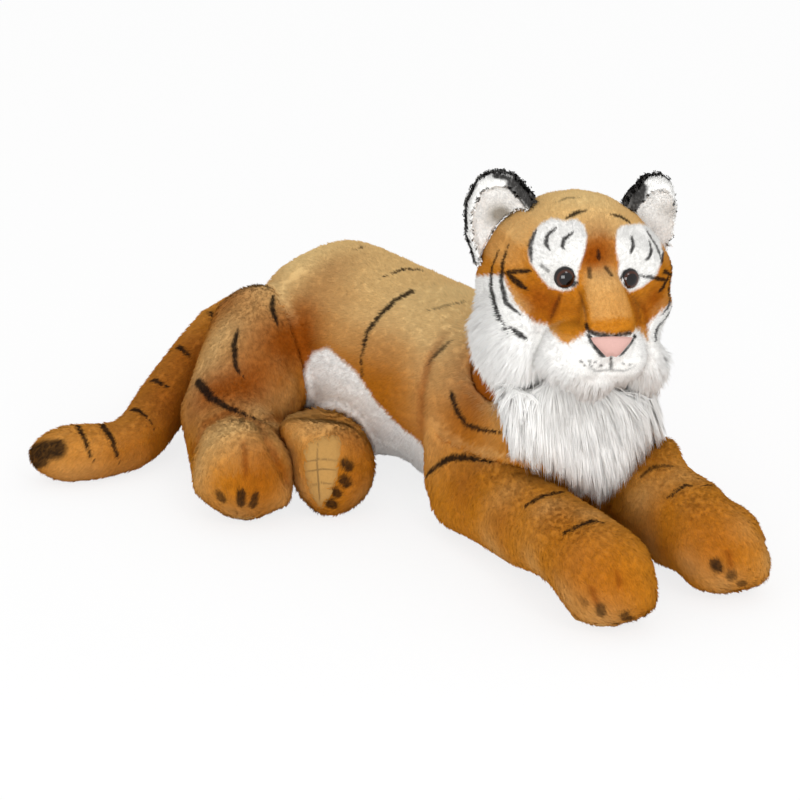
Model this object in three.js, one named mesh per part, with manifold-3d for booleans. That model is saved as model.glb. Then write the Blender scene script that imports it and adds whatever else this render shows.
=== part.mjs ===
// A plush tiger lying on its belly, with its head turned to its right and both hind legs out on that side.
// Millimetres, +Z up. The tiger faces -Y, its left side is +X and the ground is z = 0.
import * as THREE from 'three';
import { mergeVertices } from 'three/addons/utils/BufferGeometryUtils.js';
import Module from 'manifold-3d';

const wasm = await Module();
wasm.setup();

// Driving dimensions of the fabric and its seams
const coverWall = 4;
const seamGap = 0.3;
const movingGap = 0.35;
const restFlat = 0.5;
const cutOverrun = 400;
const sweepSteps = 6;
const fillingSlack = 2;

// Trunk
const torsoLength = 374;
const torsoWidth = 136;
const torsoHeight = 144;
const chestReach = 112;
const chestRounding = 40;
const rumpRounding = 58;
const torsoPathShares = [
  // aside, along, up, half width, half height
  [0.03, 0, 0.42, 0.31, 0.29],
  [0.03, 0.1, 0.44, 0.35, 0.33],
  [0.03, 0.22, 0.475, 0.38, 0.39],
  [0.02, 0.355, 0.515, 0.44, 0.49],
  [0.02, 0.53, 0.5, 0.485, 0.51],
  [0, 0.7, 0.5, 0.5, 0.51],
  [-0.03, 0.86, 0.495, 0.51, 0.495],
  [-0.05, 1, 0.44, 0.46, 0.42],
];

// Belly panel, which follows the twist of the pelvis to the right side
const bellyWidth = 88;
const bellyRounding = 22;
const bellyPathShares = [
  // aside, along, up, half width
  [-0.04, 0.3, 0.03, 0.42],
  [-0.175, 0.38, 0.07, 0.568],
  [-0.265, 0.452, 0.153, 0.56],
  [-0.323, 0.508, 0.21, 0.561],
  [-0.367, 0.561, 0.264, 0.584],
  [-0.397, 0.634, 0.32, 0.575],
  [-0.42, 0.7, 0.33, 0.5],
];

// Forelegs, from the place under each shoulder to the middle of the paw
const forelegThickness = 68;
const forelegShoulders = { right: [-28, -6], left: [61, -20] };
const forelegPaws = { right: [-66, -221], left: [33, -225] };
const forelegShoulderHeight = 92;
const forelegLift = 12;
const forelegPathShares = [
  // along from shoulder to paw, up in thicknesses, half width, half height in thicknesses
  [0.04, 1.36, 0.36, 0.4],
  [-0.01, 1.04, 0.44, 0.46],
  [0, 0.72, 0.48, 0.48],
  [0.15, 0.5, 0.49, 0.48],
  [0.42, 0.465, 0.46, 0.48],
  [0.72, 0.475, 0.47, 0.49],
  [0.94, 0.49, 0.53, 0.5],
  [1.14, 0.46, 0.48, 0.45],
];
const pawRounding = 34;
const shoulderRounding = 24;

// Hind legs
const hindlegThickness = 70;
const thighRounding = 30;
const shankRounding = 22;
const rightHip = [-62, 198, 82];
const rightHindlegReach = 150;
const rightHindlegSwing = 5;
const rightHindlegPathShares = [
  // aside, along in reaches from the hip, up, half height, half width in thicknesses
  [0.12, 0.26, 1.26, 0.5, 0.5],
  [-0.04, 0.06, 1.14, 0.62, 0.6],
  [-0.22, -0.14, 0.86, 0.64, 0.63],
  [-0.42, -0.28, 0.6, 0.6, 0.57],
  [-0.56, -0.56, 0.49, 0.49, 0.5],
  [-0.68, -0.82, 0.49, 0.49, 0.5],
  [-0.79, -1.04, 0.47, 0.46, 0.46],
];
const leftHip = [-57, 112, 30];
const leftHindlegReach = 94;
const leftHindlegLift = 10;
const leftHindlegPathShares = [
  [0.2, 0.27, 0.46, 0.34, 0.33],
  [0, 0, 0.38, 0.36, 0.34],
  [-0.3, -0.36, 0.4, 0.38, 0.36],
  [-0.56, -0.76, 0.49, 0.49, 0.44],
  [-0.66, -1, 0.48, 0.47, 0.42],
];

// Tail
const tailThickness = 42;
const tailReach = 230;
const tailRoot = [-34, 262, 82];
const tailSwing = { away: 12, toward: 2 };
const tailPathShares = [
  // aside, along in reaches from the root, up, half thickness in thicknesses
  [0.12, -0.06, 1.98, 0.46],
  [-0.02, 0.01, 1.9, 0.5],
  [-0.16, 0.03, 1.62, 0.52],
  [-0.33, -0.02, 1.1, 0.51],
  [-0.46, -0.1, 0.74, 0.5],
  [-0.59, -0.2, 0.52, 0.5],
  [-0.72, -0.27, 0.5, 0.5],
  [-0.85, -0.25, 0.52, 0.52],
  [-0.98, -0.215, 0.5, 0.48],
];

// Neck roll
const neckThickness = 80;
const neckFoot = [5, -28, 92];
const neckTop = [9, -66, 156];

// Head, in its own frame: it faces -Y about its middle, and is then turned and tilted
const headPlace = [7, -82, 186];
const headYaw = -19;
const headRoll = 5;
const headWidth = 130;
const headHeight = 130;
const headLength = 124;
const faceRounding = 38;
const napeRounding = 52;
const headTurn = 10;
const headNod = 6;
const neckSlack = 6;
const headPathShares = [
  // aside, along, up, half width, half height
  [0, -0.5, -0.04, 0.36, 0.36],
  [0, -0.32, -0.01, 0.44, 0.46],
  [0, 0, 0, 0.5, 0.5],
  [0, 0.3, 0, 0.46, 0.46],
  [0, 0.5, 0, 0.4, 0.4],
];

// Muzzle, chin, bridge, nose and cheeks, about the middle of the head
const muzzlePad = { size: [22, 25, 20], place: [14, -64, -27] };
const chin = { size: [20, 20, 15], place: [0, -60, -40] };
const bridgeWidth = 34;
const bridgeDepth = 22;
const bridgeRounding = 8;
const bridgePathShares = [
  // along in head lengths, up in head heights, half width, half depth
  [-0.36, 0.2, 0.32, 0.4],
  [-0.5, 0.12, 0.42, 0.5],
  [-0.62, 0.02, 0.52, 0.5],
  [-0.72, -0.07, 0.56, 0.42],
];
const nosePad = { size: [15.5, 8, 11], place: [2, -87, -14] };
const cheekInset = 19;
const cheekSide = headWidth / 2 - cheekInset;
const cheek = { size: [22, 38, 40], place: [cheekSide, -20, -24] };

// Eyes, their stems and washers, and the white patches over them
const eyeSide = 23.5;
const eyeUp = 18;
const eyeDiameter = 14;
const eyeDepth = 5;
const eyeRoomHeight = 10;
const eyeOutward = 24;
const eyeStemDiameter = 4;
const eyeStemLength = 12;
const washerDiameter = 15;
const washerThickness = 1.5;
const washerSetback = 3;
const washerRoomDepth = 24;
const eyePatch = { size: [20, 26, 27], place: [28, -48, 35] };
const eyePatchThickness = 1.8;

// Ears, each in its own frame with its root on the crown
const earWidth = 54;
const earHeight = 42;
const earDepth = 16;
const earBackThickness = 3.5;
const earCupDepth = 7;
const earRimShare = 0.76;
const earInset = 14;
const earSide = headWidth / 2 - earInset;
const earForward = 4;
const earUp = 38;
const earLean = 14;
const earYaw = 22;
const earFold = 10;

// Bib of long pile on the chest
const bibWidth = 150;
const bibDepth = 60;
const bibHeight = 100;
const bibTop = [1, -90, 134];
const bibRounding = 10;
const bibRoom = 4;
const bibHeadRoom = 8;
const bibPathShares = [
  // aside, along, up in heights from the top, half width, half depth
  [-0.05, 0, 0, 0.44, 0.44],
  [0.01, -0.07, -0.32, 0.5, 0.5],
  [0.05, -0.16, -0.66, 0.4, 0.46],
  [0.04, -0.22, -1, 0.17, 0.26],
];

// Soles: thin suede ovals laid into the paws
const soleThickness = 1.7;
const footShare = 0.84;
const footSole = { size: [22, 32, 12], yaw: { right: -14, left: -6, hind: -34 } };
const hindSole = { size: [17, 26, 30], yaw: -47, reach: 26 };

// Facets: sides and rings of the covers, and of what is hidden inside
const coverSides = 14;
const trunkSides = 18;
const headSides = 20;
const neckSides = 20;
const tailSides = 10;
const coreSides = 8;
const capRings = 2;
const coreCapRings = 2;
const roundSegments = 12;
const smallSegments = 12;

// Colours
const goldPile = new THREE.MeshStandardMaterial({ color: 0xc4873c, roughness: 0.9, metalness: 0 });
const whitePile = new THREE.MeshStandardMaterial({ color: 0xf3f1ec, roughness: 0.9, metalness: 0 });
const blackPile = new THREE.MeshStandardMaterial({ color: 0x1c1a19, roughness: 0.9, metalness: 0 });
const pinkVelour = new THREE.MeshStandardMaterial({ color: 0xe3a795, roughness: 0.85, metalness: 0 });
const tanSuede = new THREE.MeshStandardMaterial({ color: 0xb58a54, roughness: 0.85, metalness: 0 });
const eyePlastic = new THREE.MeshStandardMaterial({ color: 0x120b07, roughness: 0.1, metalness: 0 });
const washerPlastic = new THREE.MeshStandardMaterial({ color: 0xe8e6e0, roughness: 0.5, metalness: 0 });
const filling = new THREE.MeshStandardMaterial({ color: 0xfbfaf6, roughness: 1, metalness: 0 });

const vec = (x, y, z) => new THREE.Vector3(x, y, z);
const xAxis = vec(1, 0, 0);
const yAxis = vec(0, 1, 0);
const zAxis = vec(0, 0, 1);
const radians = THREE.MathUtils.degToRad;

// Solids: joining and cutting of closed meshes
function solid(geometry) {
  const bare = geometry.clone();
  bare.deleteAttribute('normal');
  bare.deleteAttribute('uv');
  const merged = mergeVertices(bare);
  const mesh = new wasm.Mesh({
    numProp: 3,
    vertProperties: new Float32Array(merged.attributes.position.array),
    triVerts: new Uint32Array(merged.index.array),
  });
  return new wasm.Manifold(mesh);
}

function cut(body, ...others) {
  return others.reduce((rest, other) => rest.subtract(other), body);
}

// The main body of what the cuts have left
function mainBody(body) {
  return body.decompose().reduce((best, piece) => (piece.volume() > best.volume() ? piece : best));
}

function part(name, body, material) {
  const { vertProperties, triVerts } = mainBody(body).getMesh();
  const geometry = new THREE.BufferGeometry();
  geometry.setAttribute('position', new THREE.BufferAttribute(new Float32Array(vertProperties), 3));
  geometry.setIndex(new THREE.BufferAttribute(new Uint32Array(triVerts), 1));
  geometry.computeVertexNormals();
  const mesh = new THREE.Mesh(geometry, material);
  mesh.name = name;
  return mesh;
}

function turned(geometry, axis, pivot, degrees) {
  const matrix = new THREE.Matrix4().makeTranslation(pivot)
    .multiply(new THREE.Matrix4().makeRotationAxis(axis, radians(degrees)))
    .multiply(new THREE.Matrix4().makeTranslation(pivot.clone().negate()));
  return geometry.clone().applyMatrix4(matrix);
}

// A stuffed form: oval rings that swell and taper along a smooth path, with a rounded end at each pole
class Stuffed {
  constructor({ path, across, rounding, rings, coreRings, sides = coverSides }) {
    this.curve = new THREE.CatmullRomCurve3(path.map((row) => row.at), false, 'centripetal');
    const radii = path.map((row) => vec(row.wide, row.high, 0));
    this.radii = new THREE.CatmullRomCurve3(radii, false, 'centripetal');
    this.across = across;
    this.rounding = rounding;
    this.rings = rings;
    this.coreRings = coreRings;
    this.sides = sides;
    this.length = this.curve.getLength();
  }

  // The place, directions and radii at a distance along the path, also just past its ends
  station(distance) {
    const inside = THREE.MathUtils.clamp(distance / this.length, 0, 1);
    const t = this.curve.getUtoTmapping(inside);
    const along = this.curve.getTangent(t);
    const at = this.curve.getPoint(t).addScaledVector(along, distance - inside * this.length);
    const side = this.across.clone().addScaledVector(along, -this.across.dot(along)).normalize();
    const lift = along.clone().cross(side);
    const { x: wide, y: high } = this.radii.getPoint(t);
    return { at, side, lift, wide, high };
  }

  geometry(grow = 0, core = false) {
    const sides = core ? coreSides : this.sides;
    const rings = core ? this.coreRings : this.rings;
    const caps = core ? coreCapRings : capRings;
    const [startRound, endRound] = this.rounding;
    const stops = [];
    for (let i = 1; i <= caps; i++) {
      const angle = (Math.PI / 2) * (i / (caps + 1));
      stops.push([startRound - (startRound + grow) * Math.cos(angle), Math.sin(angle)]);
    }
    for (let i = 0; i <= rings; i++) {
      stops.push([THREE.MathUtils.lerp(startRound, this.length - endRound, i / rings), 1]);
    }
    for (let i = caps; i >= 1; i--) {
      const angle = (Math.PI / 2) * (i / (caps + 1));
      stops.push([this.length - endRound + (endRound + grow) * Math.cos(angle), Math.sin(angle)]);
    }
    const points = [this.station(-grow).at];
    for (const [distance, share] of stops) {
      const { at, side, lift, wide, high } = this.station(distance);
      for (let j = 0; j < sides; j++) {
        const angle = 2 * Math.PI * (j / sides);
        points.push(at.clone()
          .addScaledVector(side, (wide + grow) * share * Math.cos(angle))
          .addScaledVector(lift, (high + grow) * share * Math.sin(angle)));
      }
    }
    points.push(this.station(this.length + grow).at);
    return closedRings(points, stops.length, sides);
  }

  solid(grow = 0) {
    return solid(this.geometry(grow));
  }

  hollow() {
    return solid(this.geometry(-coverWall, true));
  }

  fill() {
    return solid(this.geometry(-coverWall - seamGap, true));
  }
}

function closedRings(points, ringCount, sides) {
  const index = [];
  const last = points.length - 1;
  const at = (ring, j) => 1 + ring * sides + (j % sides);
  for (let j = 0; j < sides; j++) {
    index.push(0, at(0, j + 1), at(0, j));
    index.push(last, at(ringCount - 1, j), at(ringCount - 1, j + 1));
    for (let ring = 0; ring < ringCount - 1; ring++) {
      index.push(at(ring, j), at(ring, j + 1), at(ring + 1, j));
      index.push(at(ring, j + 1), at(ring + 1, j + 1), at(ring + 1, j));
    }
  }
  const geometry = new THREE.BufferGeometry().setFromPoints(points);
  geometry.setIndex(index);
  return geometry;
}

function oval({ size: [wide, long, high], place }, grow = 0, segments = roundSegments) {
  const geometry = new THREE.SphereGeometry(1, segments, segments / 2);
  geometry.rotateX(Math.PI / 2);
  geometry.scale(wide + grow, long + grow, high + grow);
  return geometry.translate(...place);
}

function onSide(side, { size, place: [aside, along, up] }) {
  return { size, place: [side * aside, along, up] };
}

const groundBlock = new THREE.BoxGeometry(2 * cutOverrun, 2 * cutOverrun, cutOverrun);
groundBlock.translate(0, 0, -cutOverrun / 2);
const ground = solid(groundBlock);

// The same geometry in each of several turned positions, to clear the way of a moving piece
function sweep(geometry, axis, pivot, angles) {
  return angles.map((degrees) => solid(turned(geometry, axis, pivot, degrees)));
}

function positions(from, to) {
  return Array.from({ length: sweepSteps + 1 }, (_, step) => THREE.MathUtils.lerp(from, to, step / sweepSteps));
}

// Trunk
const torsoForm = new Stuffed({
  path: torsoPathShares.map(([aside, along, up, wide, high]) => ({
    at: vec(aside * torsoWidth, along * torsoLength - chestReach, up * torsoHeight - restFlat),
    wide: wide * torsoWidth,
    high: high * torsoHeight,
  })),
  across: xAxis,
  rounding: [chestRounding, rumpRounding],
  rings: 8,
  coreRings: 5,
  sides: trunkSides,
});

const bellyForm = new Stuffed({
  path: bellyPathShares.map(([aside, along, up, half]) => ({
    at: vec(aside * torsoWidth, along * torsoLength - chestReach, up * torsoHeight),
    wide: half * bellyWidth,
    high: half * bellyWidth,
  })),
  across: xAxis,
  rounding: [bellyRounding, bellyRounding],
  rings: 5,
  coreRings: 5,
});

// Neck roll: a straight stuffed roll with a round top, on which the head nods
const neckBottom = vec(...neckFoot);
const neckPivot = vec(...neckTop);
const neckAxis = neckPivot.clone().sub(neckBottom).normalize();
const neckRadius = neckThickness / 2;
const neckForm = new Stuffed({
  path: [
    { at: neckBottom.clone().addScaledVector(neckAxis, -neckRadius), wide: neckRadius, high: neckRadius },
    { at: neckPivot.clone().addScaledVector(neckAxis, neckRadius), wide: neckRadius, high: neckRadius },
  ],
  across: xAxis,
  rounding: [neckRadius, neckRadius],
  rings: 1,
  coreRings: 1,
  sides: neckSides,
});
const turnGap = seamGap + neckRadius * (1 / Math.cos(Math.PI / neckSides) - 1);
const neckHole = neckForm.solid(turnGap);

// Legs and tail
function forelegForm(side) {
  const [shoulderAside, shoulderAlong] = forelegShoulders[side];
  const [pawAside, pawAlong] = forelegPaws[side];
  return new Stuffed({
    path: forelegPathShares.map(([along, up, wide, high]) => ({
      at: vec(
        THREE.MathUtils.lerp(shoulderAside, pawAside, along),
        THREE.MathUtils.lerp(shoulderAlong, pawAlong, along),
        up * forelegThickness - restFlat,
      ),
      wide: wide * forelegThickness,
      high: high * forelegThickness,
    })),
    across: xAxis,
    rounding: [shoulderRounding, pawRounding],
    rings: 7,
    coreRings: 5,
  });
}

function hindlegForm(hip, reach, shares, rounding) {
  return new Stuffed({
    path: shares.map(([aside, along, up, high, wide]) => ({
      at: vec(hip[0] + aside * reach, hip[1] + along * reach, up * hindlegThickness - restFlat),
      wide: high * hindlegThickness,
      high: wide * hindlegThickness,
    })),
    across: zAxis,
    rounding,
    rings: 6,
    coreRings: 5,
  });
}

const tailForm = new Stuffed({
  path: tailPathShares.map(([aside, along, up, half]) => ({
    at: vec(tailRoot[0] + aside * tailReach, tailRoot[1] + along * tailReach, up * tailThickness - restFlat),
    wide: half * tailThickness,
    high: half * tailThickness,
  })),
  across: zAxis,
  rounding: [tailThickness / 2, tailThickness / 2],
  rings: 10,
  coreRings: 8,
  sides: tailSides,
});

// Joint axes: each goes through the middle of a limb's seam
const shoulderPivots = {
  right: vec(...forelegShoulders.right, forelegShoulderHeight),
  left: vec(...forelegShoulders.left, forelegShoulderHeight),
};
const rightHipPivot = vec(...rightHip);
const leftHipPivot = vec(...leftHip);
const leftFootDirection = vec(...leftHindlegPathShares.at(-1).slice(0, 2), 0).normalize();
const leftHipAxis = leftFootDirection.clone().cross(zAxis);
const tailPivot = vec(...tailRoot);

// A limb is cut by the trunk in every position that it moves through, and its paw has a sole laid in
function limb(name, form, axis, pivot, angles, sole, neighbours = [torsoForm]) {
  const back = angles.map((degrees) => -degrees);
  const clear = neighbours.flatMap((other) => sweep(other.geometry(movingGap), axis, pivot, back));
  const roomy = [back[0], back[sweepSteps / 2], back[sweepSteps]];
  const insideClear = neighbours.flatMap((other) => sweep(other.geometry(fillingSlack), axis, pivot, roomy));
  const shell = cut(form.solid(), form.hollow(), form.fill(), ...clear, ground);
  const pieces = [part(`${name}_filling`, cut(form.fill(), ...insideClear, ground), filling)];
  if (!sole) {
    return [part(`${name}_cover`, shell, goldPile), ...pieces];
  }
  const under = solid(form.geometry(-soleThickness));
  const underFit = solid(form.geometry(-soleThickness - seamGap));
  const laidIn = cut(solid(sole(seamGap)), underFit);
  const soleBody = cut(form.solid().intersect(solid(sole(0))), under, ground);
  return [
    part(`${name}_cover`, cut(shell, laidIn), goldPile),
    part(`${name}_sole`, soleBody, tanSuede),
    ...pieces,
  ];
}

// Head: its pieces are made in the head's own frame and carried to their place by one matrix
const headMatrix = new THREE.Matrix4().makeTranslation(...headPlace)
  .multiply(new THREE.Matrix4().makeRotationZ(radians(headYaw)))
  .multiply(new THREE.Matrix4().makeRotationY(radians(headRoll)));
const carried = (geometry) => geometry.clone().applyMatrix4(headMatrix);
const onHead = (geometry) => solid(carried(geometry));
const nodAxis = xAxis.clone().transformDirection(new THREE.Matrix4().makeRotationZ(radians(headYaw)));

const headForm = new Stuffed({
  path: headPathShares.map(([aside, along, up, wide, high]) => ({
    at: vec(aside * headWidth, along * headLength, up * headHeight),
    wide: wide * headWidth,
    high: high * headHeight,
  })),
  across: xAxis,
  rounding: [faceRounding, napeRounding],
  rings: 4,
  coreRings: 3,
  sides: headSides,
});
const headClear = (grow) => onHead(headForm.geometry(grow));

function muzzleBody(grow) {
  const pads = [-1, 1].map((side) => onHead(oval(onSide(side, muzzlePad), grow, smallSegments)));
  return pads[0].add(pads[1]).add(onHead(oval(chin, grow, smallSegments)));
}

function bridgeBody(grow) {
  const form = new Stuffed({
    path: bridgePathShares.map(([along, up, wide, deep]) => ({
      at: vec(0, along * headLength, up * headHeight),
      wide: wide * bridgeWidth,
      high: deep * bridgeDepth,
    })),
    across: xAxis,
    rounding: [bridgeRounding, bridgeRounding],
    rings: 4,
    coreRings: 4,
    sides: smallSegments,
  });
  return onHead(form.geometry(grow));
}

// Where the face's surface lies at a place to the side of and above the middle of the head
function faceDepth(aside, up) {
  const ray = new THREE.Raycaster(vec(aside, -headLength, up), yAxis);
  const mesh = new THREE.Mesh(headForm.geometry(), new THREE.MeshBasicMaterial({ side: THREE.DoubleSide }));
  return ray.intersectObject(mesh)[0].point.y;
}

// An eye: a dome and its stem as one turned shape, and the washer that holds it inside the cover
const domeRadius = eyeDiameter / 2;
const stemRadius = eyeStemDiameter / 2;
const washerRadius = washerDiameter / 2;
const domeSteps = 4;

function lathe(points, segments = roundSegments) {
  const profile = points.map(([radius, height]) => new THREE.Vector2(radius, height));
  return new THREE.LatheGeometry(profile, segments);
}

function eyePlaced(side, geometry) {
  return geometry
    .rotateX(Math.PI)
    .rotateZ(radians(side * eyeOutward))
    .translate(side * eyeSide, faceDepth(side * eyeSide, eyeUp), eyeUp);
}

function eyeGeometry(side) {
  const points = [[0, -eyeStemLength], [stemRadius, -eyeStemLength], [stemRadius, seamGap]];
  for (let i = 0; i <= domeSteps; i++) {
    const angle = (Math.PI / 2) * (i / domeSteps);
    points.push([domeRadius * Math.cos(angle), seamGap + eyePatchThickness + eyeDepth * Math.sin(angle)]);
  }
  points.splice(3, 0, [domeRadius, seamGap]);
  points[points.length - 1][0] = 0;
  return eyePlaced(side, lathe(points));
}

function plug(side, radius, from, to) {
  return onHead(eyePlaced(side, lathe([[0, from], [radius, from], [radius, to], [0, to]])));
}

function washerGeometry(side) {
  const top = -coverWall - washerSetback;
  const bottom = top - washerThickness;
  const inner = stemRadius + seamGap;
  const rim = [[inner, bottom], [washerRadius, bottom], [washerRadius, top], [inner, top], [inner, bottom]];
  return eyePlaced(side, lathe(rim));
}

// Ears: a cupped white lining in a black back, with its root on the crown
function earFrame(side) {
  return new THREE.Matrix4().makeTranslation(side * earSide, earForward, earUp)
    .multiply(new THREE.Matrix4().makeRotationZ(radians(side * earYaw)))
    .multiply(new THREE.Matrix4().makeRotationY(radians(side * earLean)));
}

function earOval(side, shares, shift) {
  const [wide, deep, high] = shares;
  const size = [wide * earWidth / 2, deep * earDepth, high * earHeight];
  const geometry = oval({ size, place: [0, shift, 0] }, 0, smallSegments);
  return onHead(geometry.applyMatrix4(earFrame(side)));
}

function earPieces(name, side) {
  const root = new THREE.Vector3().applyMatrix4(earFrame(side)).applyMatrix4(headMatrix);
  const axis = xAxis.clone().transformDirection(earFrame(side)).transformDirection(headMatrix);
  const clear = sweep(carried(headForm.geometry(seamGap)), axis, root, positions(-earFold, earFold));
  const whole = earOval(side, [1, 1, 1], 0);
  const split = earBackThickness;
  const inside = earOval(side, [1, 1, 1], -split);
  const insideFit = earOval(side, [1, 1, 1], -split - seamGap);
  const cup = earOval(side, [earRimShare, 1, earRimShare], -earCupDepth - split);
  const back = cut(whole, inside, ...clear);
  const front = cut(whole.intersect(insideFit), cup, ...clear);
  return [part(`${name}_back`, back, blackPile), part(`${name}_front`, front, whitePile)];
}

function eyePatchBody(side) {
  const sheet = cut(headClear(eyePatchThickness + seamGap), headClear(seamGap));
  return sheet.intersect(onHead(oval(onSide(side, eyePatch))));
}

function sideName(side) {
  return side < 0 ? 'right' : 'left';
}

const group = new THREE.Group();

// Trunk pieces
const torsoShell = cut(torsoForm.solid(), torsoForm.hollow(), neckHole, ground);
group.add(part('torso_cover', cut(torsoShell, bellyForm.solid(seamGap)), goldPile));
group.add(part('belly_panel', torsoShell.intersect(bellyForm.solid()), whitePile));
group.add(part('torso_filling', cut(torsoForm.fill(), neckHole, ground), filling));
group.add(part('neck', neckForm.solid(), goldPile));

// Leg and tail pieces
const foreSweep = positions(0, -forelegLift);
for (const side of ['right', 'left']) {
  const [pawAside, pawAlong] = forelegPaws[side];
  const sole = (grow) => oval({ size: footSole.size, place: [0, 0, 0] }, grow)
    .rotateZ(radians(footSole.yaw[side]))
    .translate(pawAside, pawAlong, 0);
  group.add(...limb(`${side}_foreleg`, forelegForm(side), xAxis, shoulderPivots[side], foreSweep, sole));
}
const hindRounding = [thighRounding, thighRounding];
const rightHindleg = hindlegForm(rightHip, rightHindlegReach, rightHindlegPathShares, hindRounding);
const rightFoot = rightHindleg.curve.getPoint(footShare);
const rightHindSole = (grow) => oval({ size: footSole.size, place: [0, 0, 0] }, grow)
  .rotateZ(radians(footSole.yaw.hind))
  .translate(rightFoot.x, rightFoot.y, 0);
const rightHindSweep = positions(0, -rightHindlegSwing);
group.add(...limb('right_hindleg', rightHindleg, zAxis, rightHipPivot, rightHindSweep, rightHindSole));
const leftRounding = [shankRounding, thighRounding];
const leftHindleg = hindlegForm(leftHip, leftHindlegReach, leftHindlegPathShares, leftRounding);
const leftFoot = leftHindleg.curve.getPoint(footShare);
const leftHindSole = (grow) => oval({ size: hindSole.size, place: [0, -hindSole.reach, 0] }, grow)
  .rotateZ(radians(hindSole.yaw))
  .translate(leftFoot.x, leftFoot.y, leftFoot.z);
const leftHindSweep = positions(0, leftHindlegLift);
const leftNeighbours = [torsoForm, rightHindleg];
const leftTurning = [leftHipAxis, leftHipPivot, leftHindSweep];
group.add(...limb('left_hindleg', leftHindleg, ...leftTurning, leftHindSole, leftNeighbours));
const tailSweep = positions(-tailSwing.away, tailSwing.toward);
group.add(...limb('tail', tailForm, zAxis, tailPivot, tailSweep));

// Head pieces
const stemHoles = [-1, 1].map((side) => plug(side, stemRadius + seamGap, -eyeStemLength - seamGap, eyeDepth));
const neckSocket = sweep(neckForm.geometry(seamGap), nodAxis, neckPivot, [-headNod, 0, headNod]);
const headHollow = onHead(headForm.geometry(-coverWall, true));
const eyeSeats = [-1, 1].map((side) => plug(side, domeRadius + seamGap, 0, eyeRoomHeight));
const washerTop = seamGap - coverWall - washerSetback;
const washerSeats = [-1, 1].map((side) => plug(side, washerRadius + seamGap, -washerRoomDepth, washerTop));
const headShell = cut(headClear(0), headHollow, ...neckSocket, ...stemHoles, ...eyeSeats, ...washerSeats);
group.add(part('head_cover', headShell, goldPile));
const headFill = onHead(headForm.geometry(-coverWall - seamGap, true));
const washerRooms = [-1, 1].map((side) => plug(side, washerRadius + seamGap, -washerRoomDepth, 0));
group.add(part('head_filling', cut(headFill, neckForm.solid(neckSlack), ...washerRooms), filling));
group.add(part('nose_bridge', cut(bridgeBody(0), headClear(seamGap)), goldPile));
group.add(part('muzzle', cut(muzzleBody(0), headClear(seamGap), bridgeBody(seamGap)), whitePile));
const nosePlaced = onHead(oval(nosePad, 0, smallSegments));
group.add(part('nose', cut(nosePlaced, bridgeBody(seamGap), muzzleBody(seamGap)), pinkVelour));
for (const side of [-1, 1]) {
  const name = sideName(side);
  const eyeRoom = plug(side, domeRadius + seamGap, -eyeDepth, eyeRoomHeight);
  group.add(part(`${name}_eye`, onHead(eyeGeometry(side)), eyePlastic));
  group.add(part(`${name}_eye_washer`, onHead(washerGeometry(side)), washerPlastic));
  group.add(part(`${name}_eye_patch`, cut(eyePatchBody(side), eyeRoom, bridgeBody(seamGap)), whitePile));
  const cheekBody = onHead(oval(onSide(side, cheek), 0, smallSegments));
  group.add(part(`${name}_cheek`, cut(cheekBody, headClear(seamGap), muzzleBody(seamGap)), whitePile));
  group.add(...earPieces(`${name}_ear`, side));
}

// Bib, cut by the trunk, the neck, the legs and the head in their positions
const bibForm = new Stuffed({
  path: bibPathShares.map(([aside, along, up, wide, deep]) => ({
    at: vec(...bibTop).add(vec(aside, along, up).multiplyScalar(bibHeight)),
    wide: wide * bibWidth,
    high: deep * bibDepth,
  })),
  across: xAxis,
  rounding: [bibRounding, bibRounding],
  rings: 5,
  coreRings: 5,
});
const legClear = ['right', 'left'].flatMap((side) => (
  sweep(forelegForm(side).geometry(movingGap), xAxis, shoulderPivots[side], foreSweep)
));
const faceRoom = [
  headForm.geometry(bibHeadRoom, true),
  oval(chin, bibRoom, coreSides),
  ...[-1, 1].map((side) => oval(onSide(side, cheek), bibRoom, coreSides)),
];
const faceClear = [-headTurn, 0, headTurn].flatMap((turn) => [-headNod, headNod].flatMap((nod) => (
  faceRoom.map((geometry) => (
    solid(turned(turned(carried(geometry), nodAxis, neckPivot, nod), neckAxis, neckPivot, turn))
  ))
)));
const bibBody = cut(bibForm.solid(), torsoForm.solid(seamGap), neckHole, ...legClear, ...faceClear);
group.add(part('bib', bibBody, whitePile));

// The origin is under the middle of the whole toy, on the ground
const middle = new THREE.Box3().setFromObject(group).getCenter(vec(0, 0, 0));
group.position.set(-middle.x, -middle.y, 0);

export default group;
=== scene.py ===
"""A plush tiger lying on its belly: stuffed covers with combed pile, an airbrushed and striped coat with
painted light and shade, a fluffy face, glossy safety eyes and a long-haired bib, in a white studio."""

import math
from dataclasses import dataclass, field
from functools import cache

import bpy
import numpy as np
from bpy.props import FloatProperty, FloatVectorProperty, PointerProperty
from mathutils import Matrix, Vector
from mathutils.bvhtree import BVHTree


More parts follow.
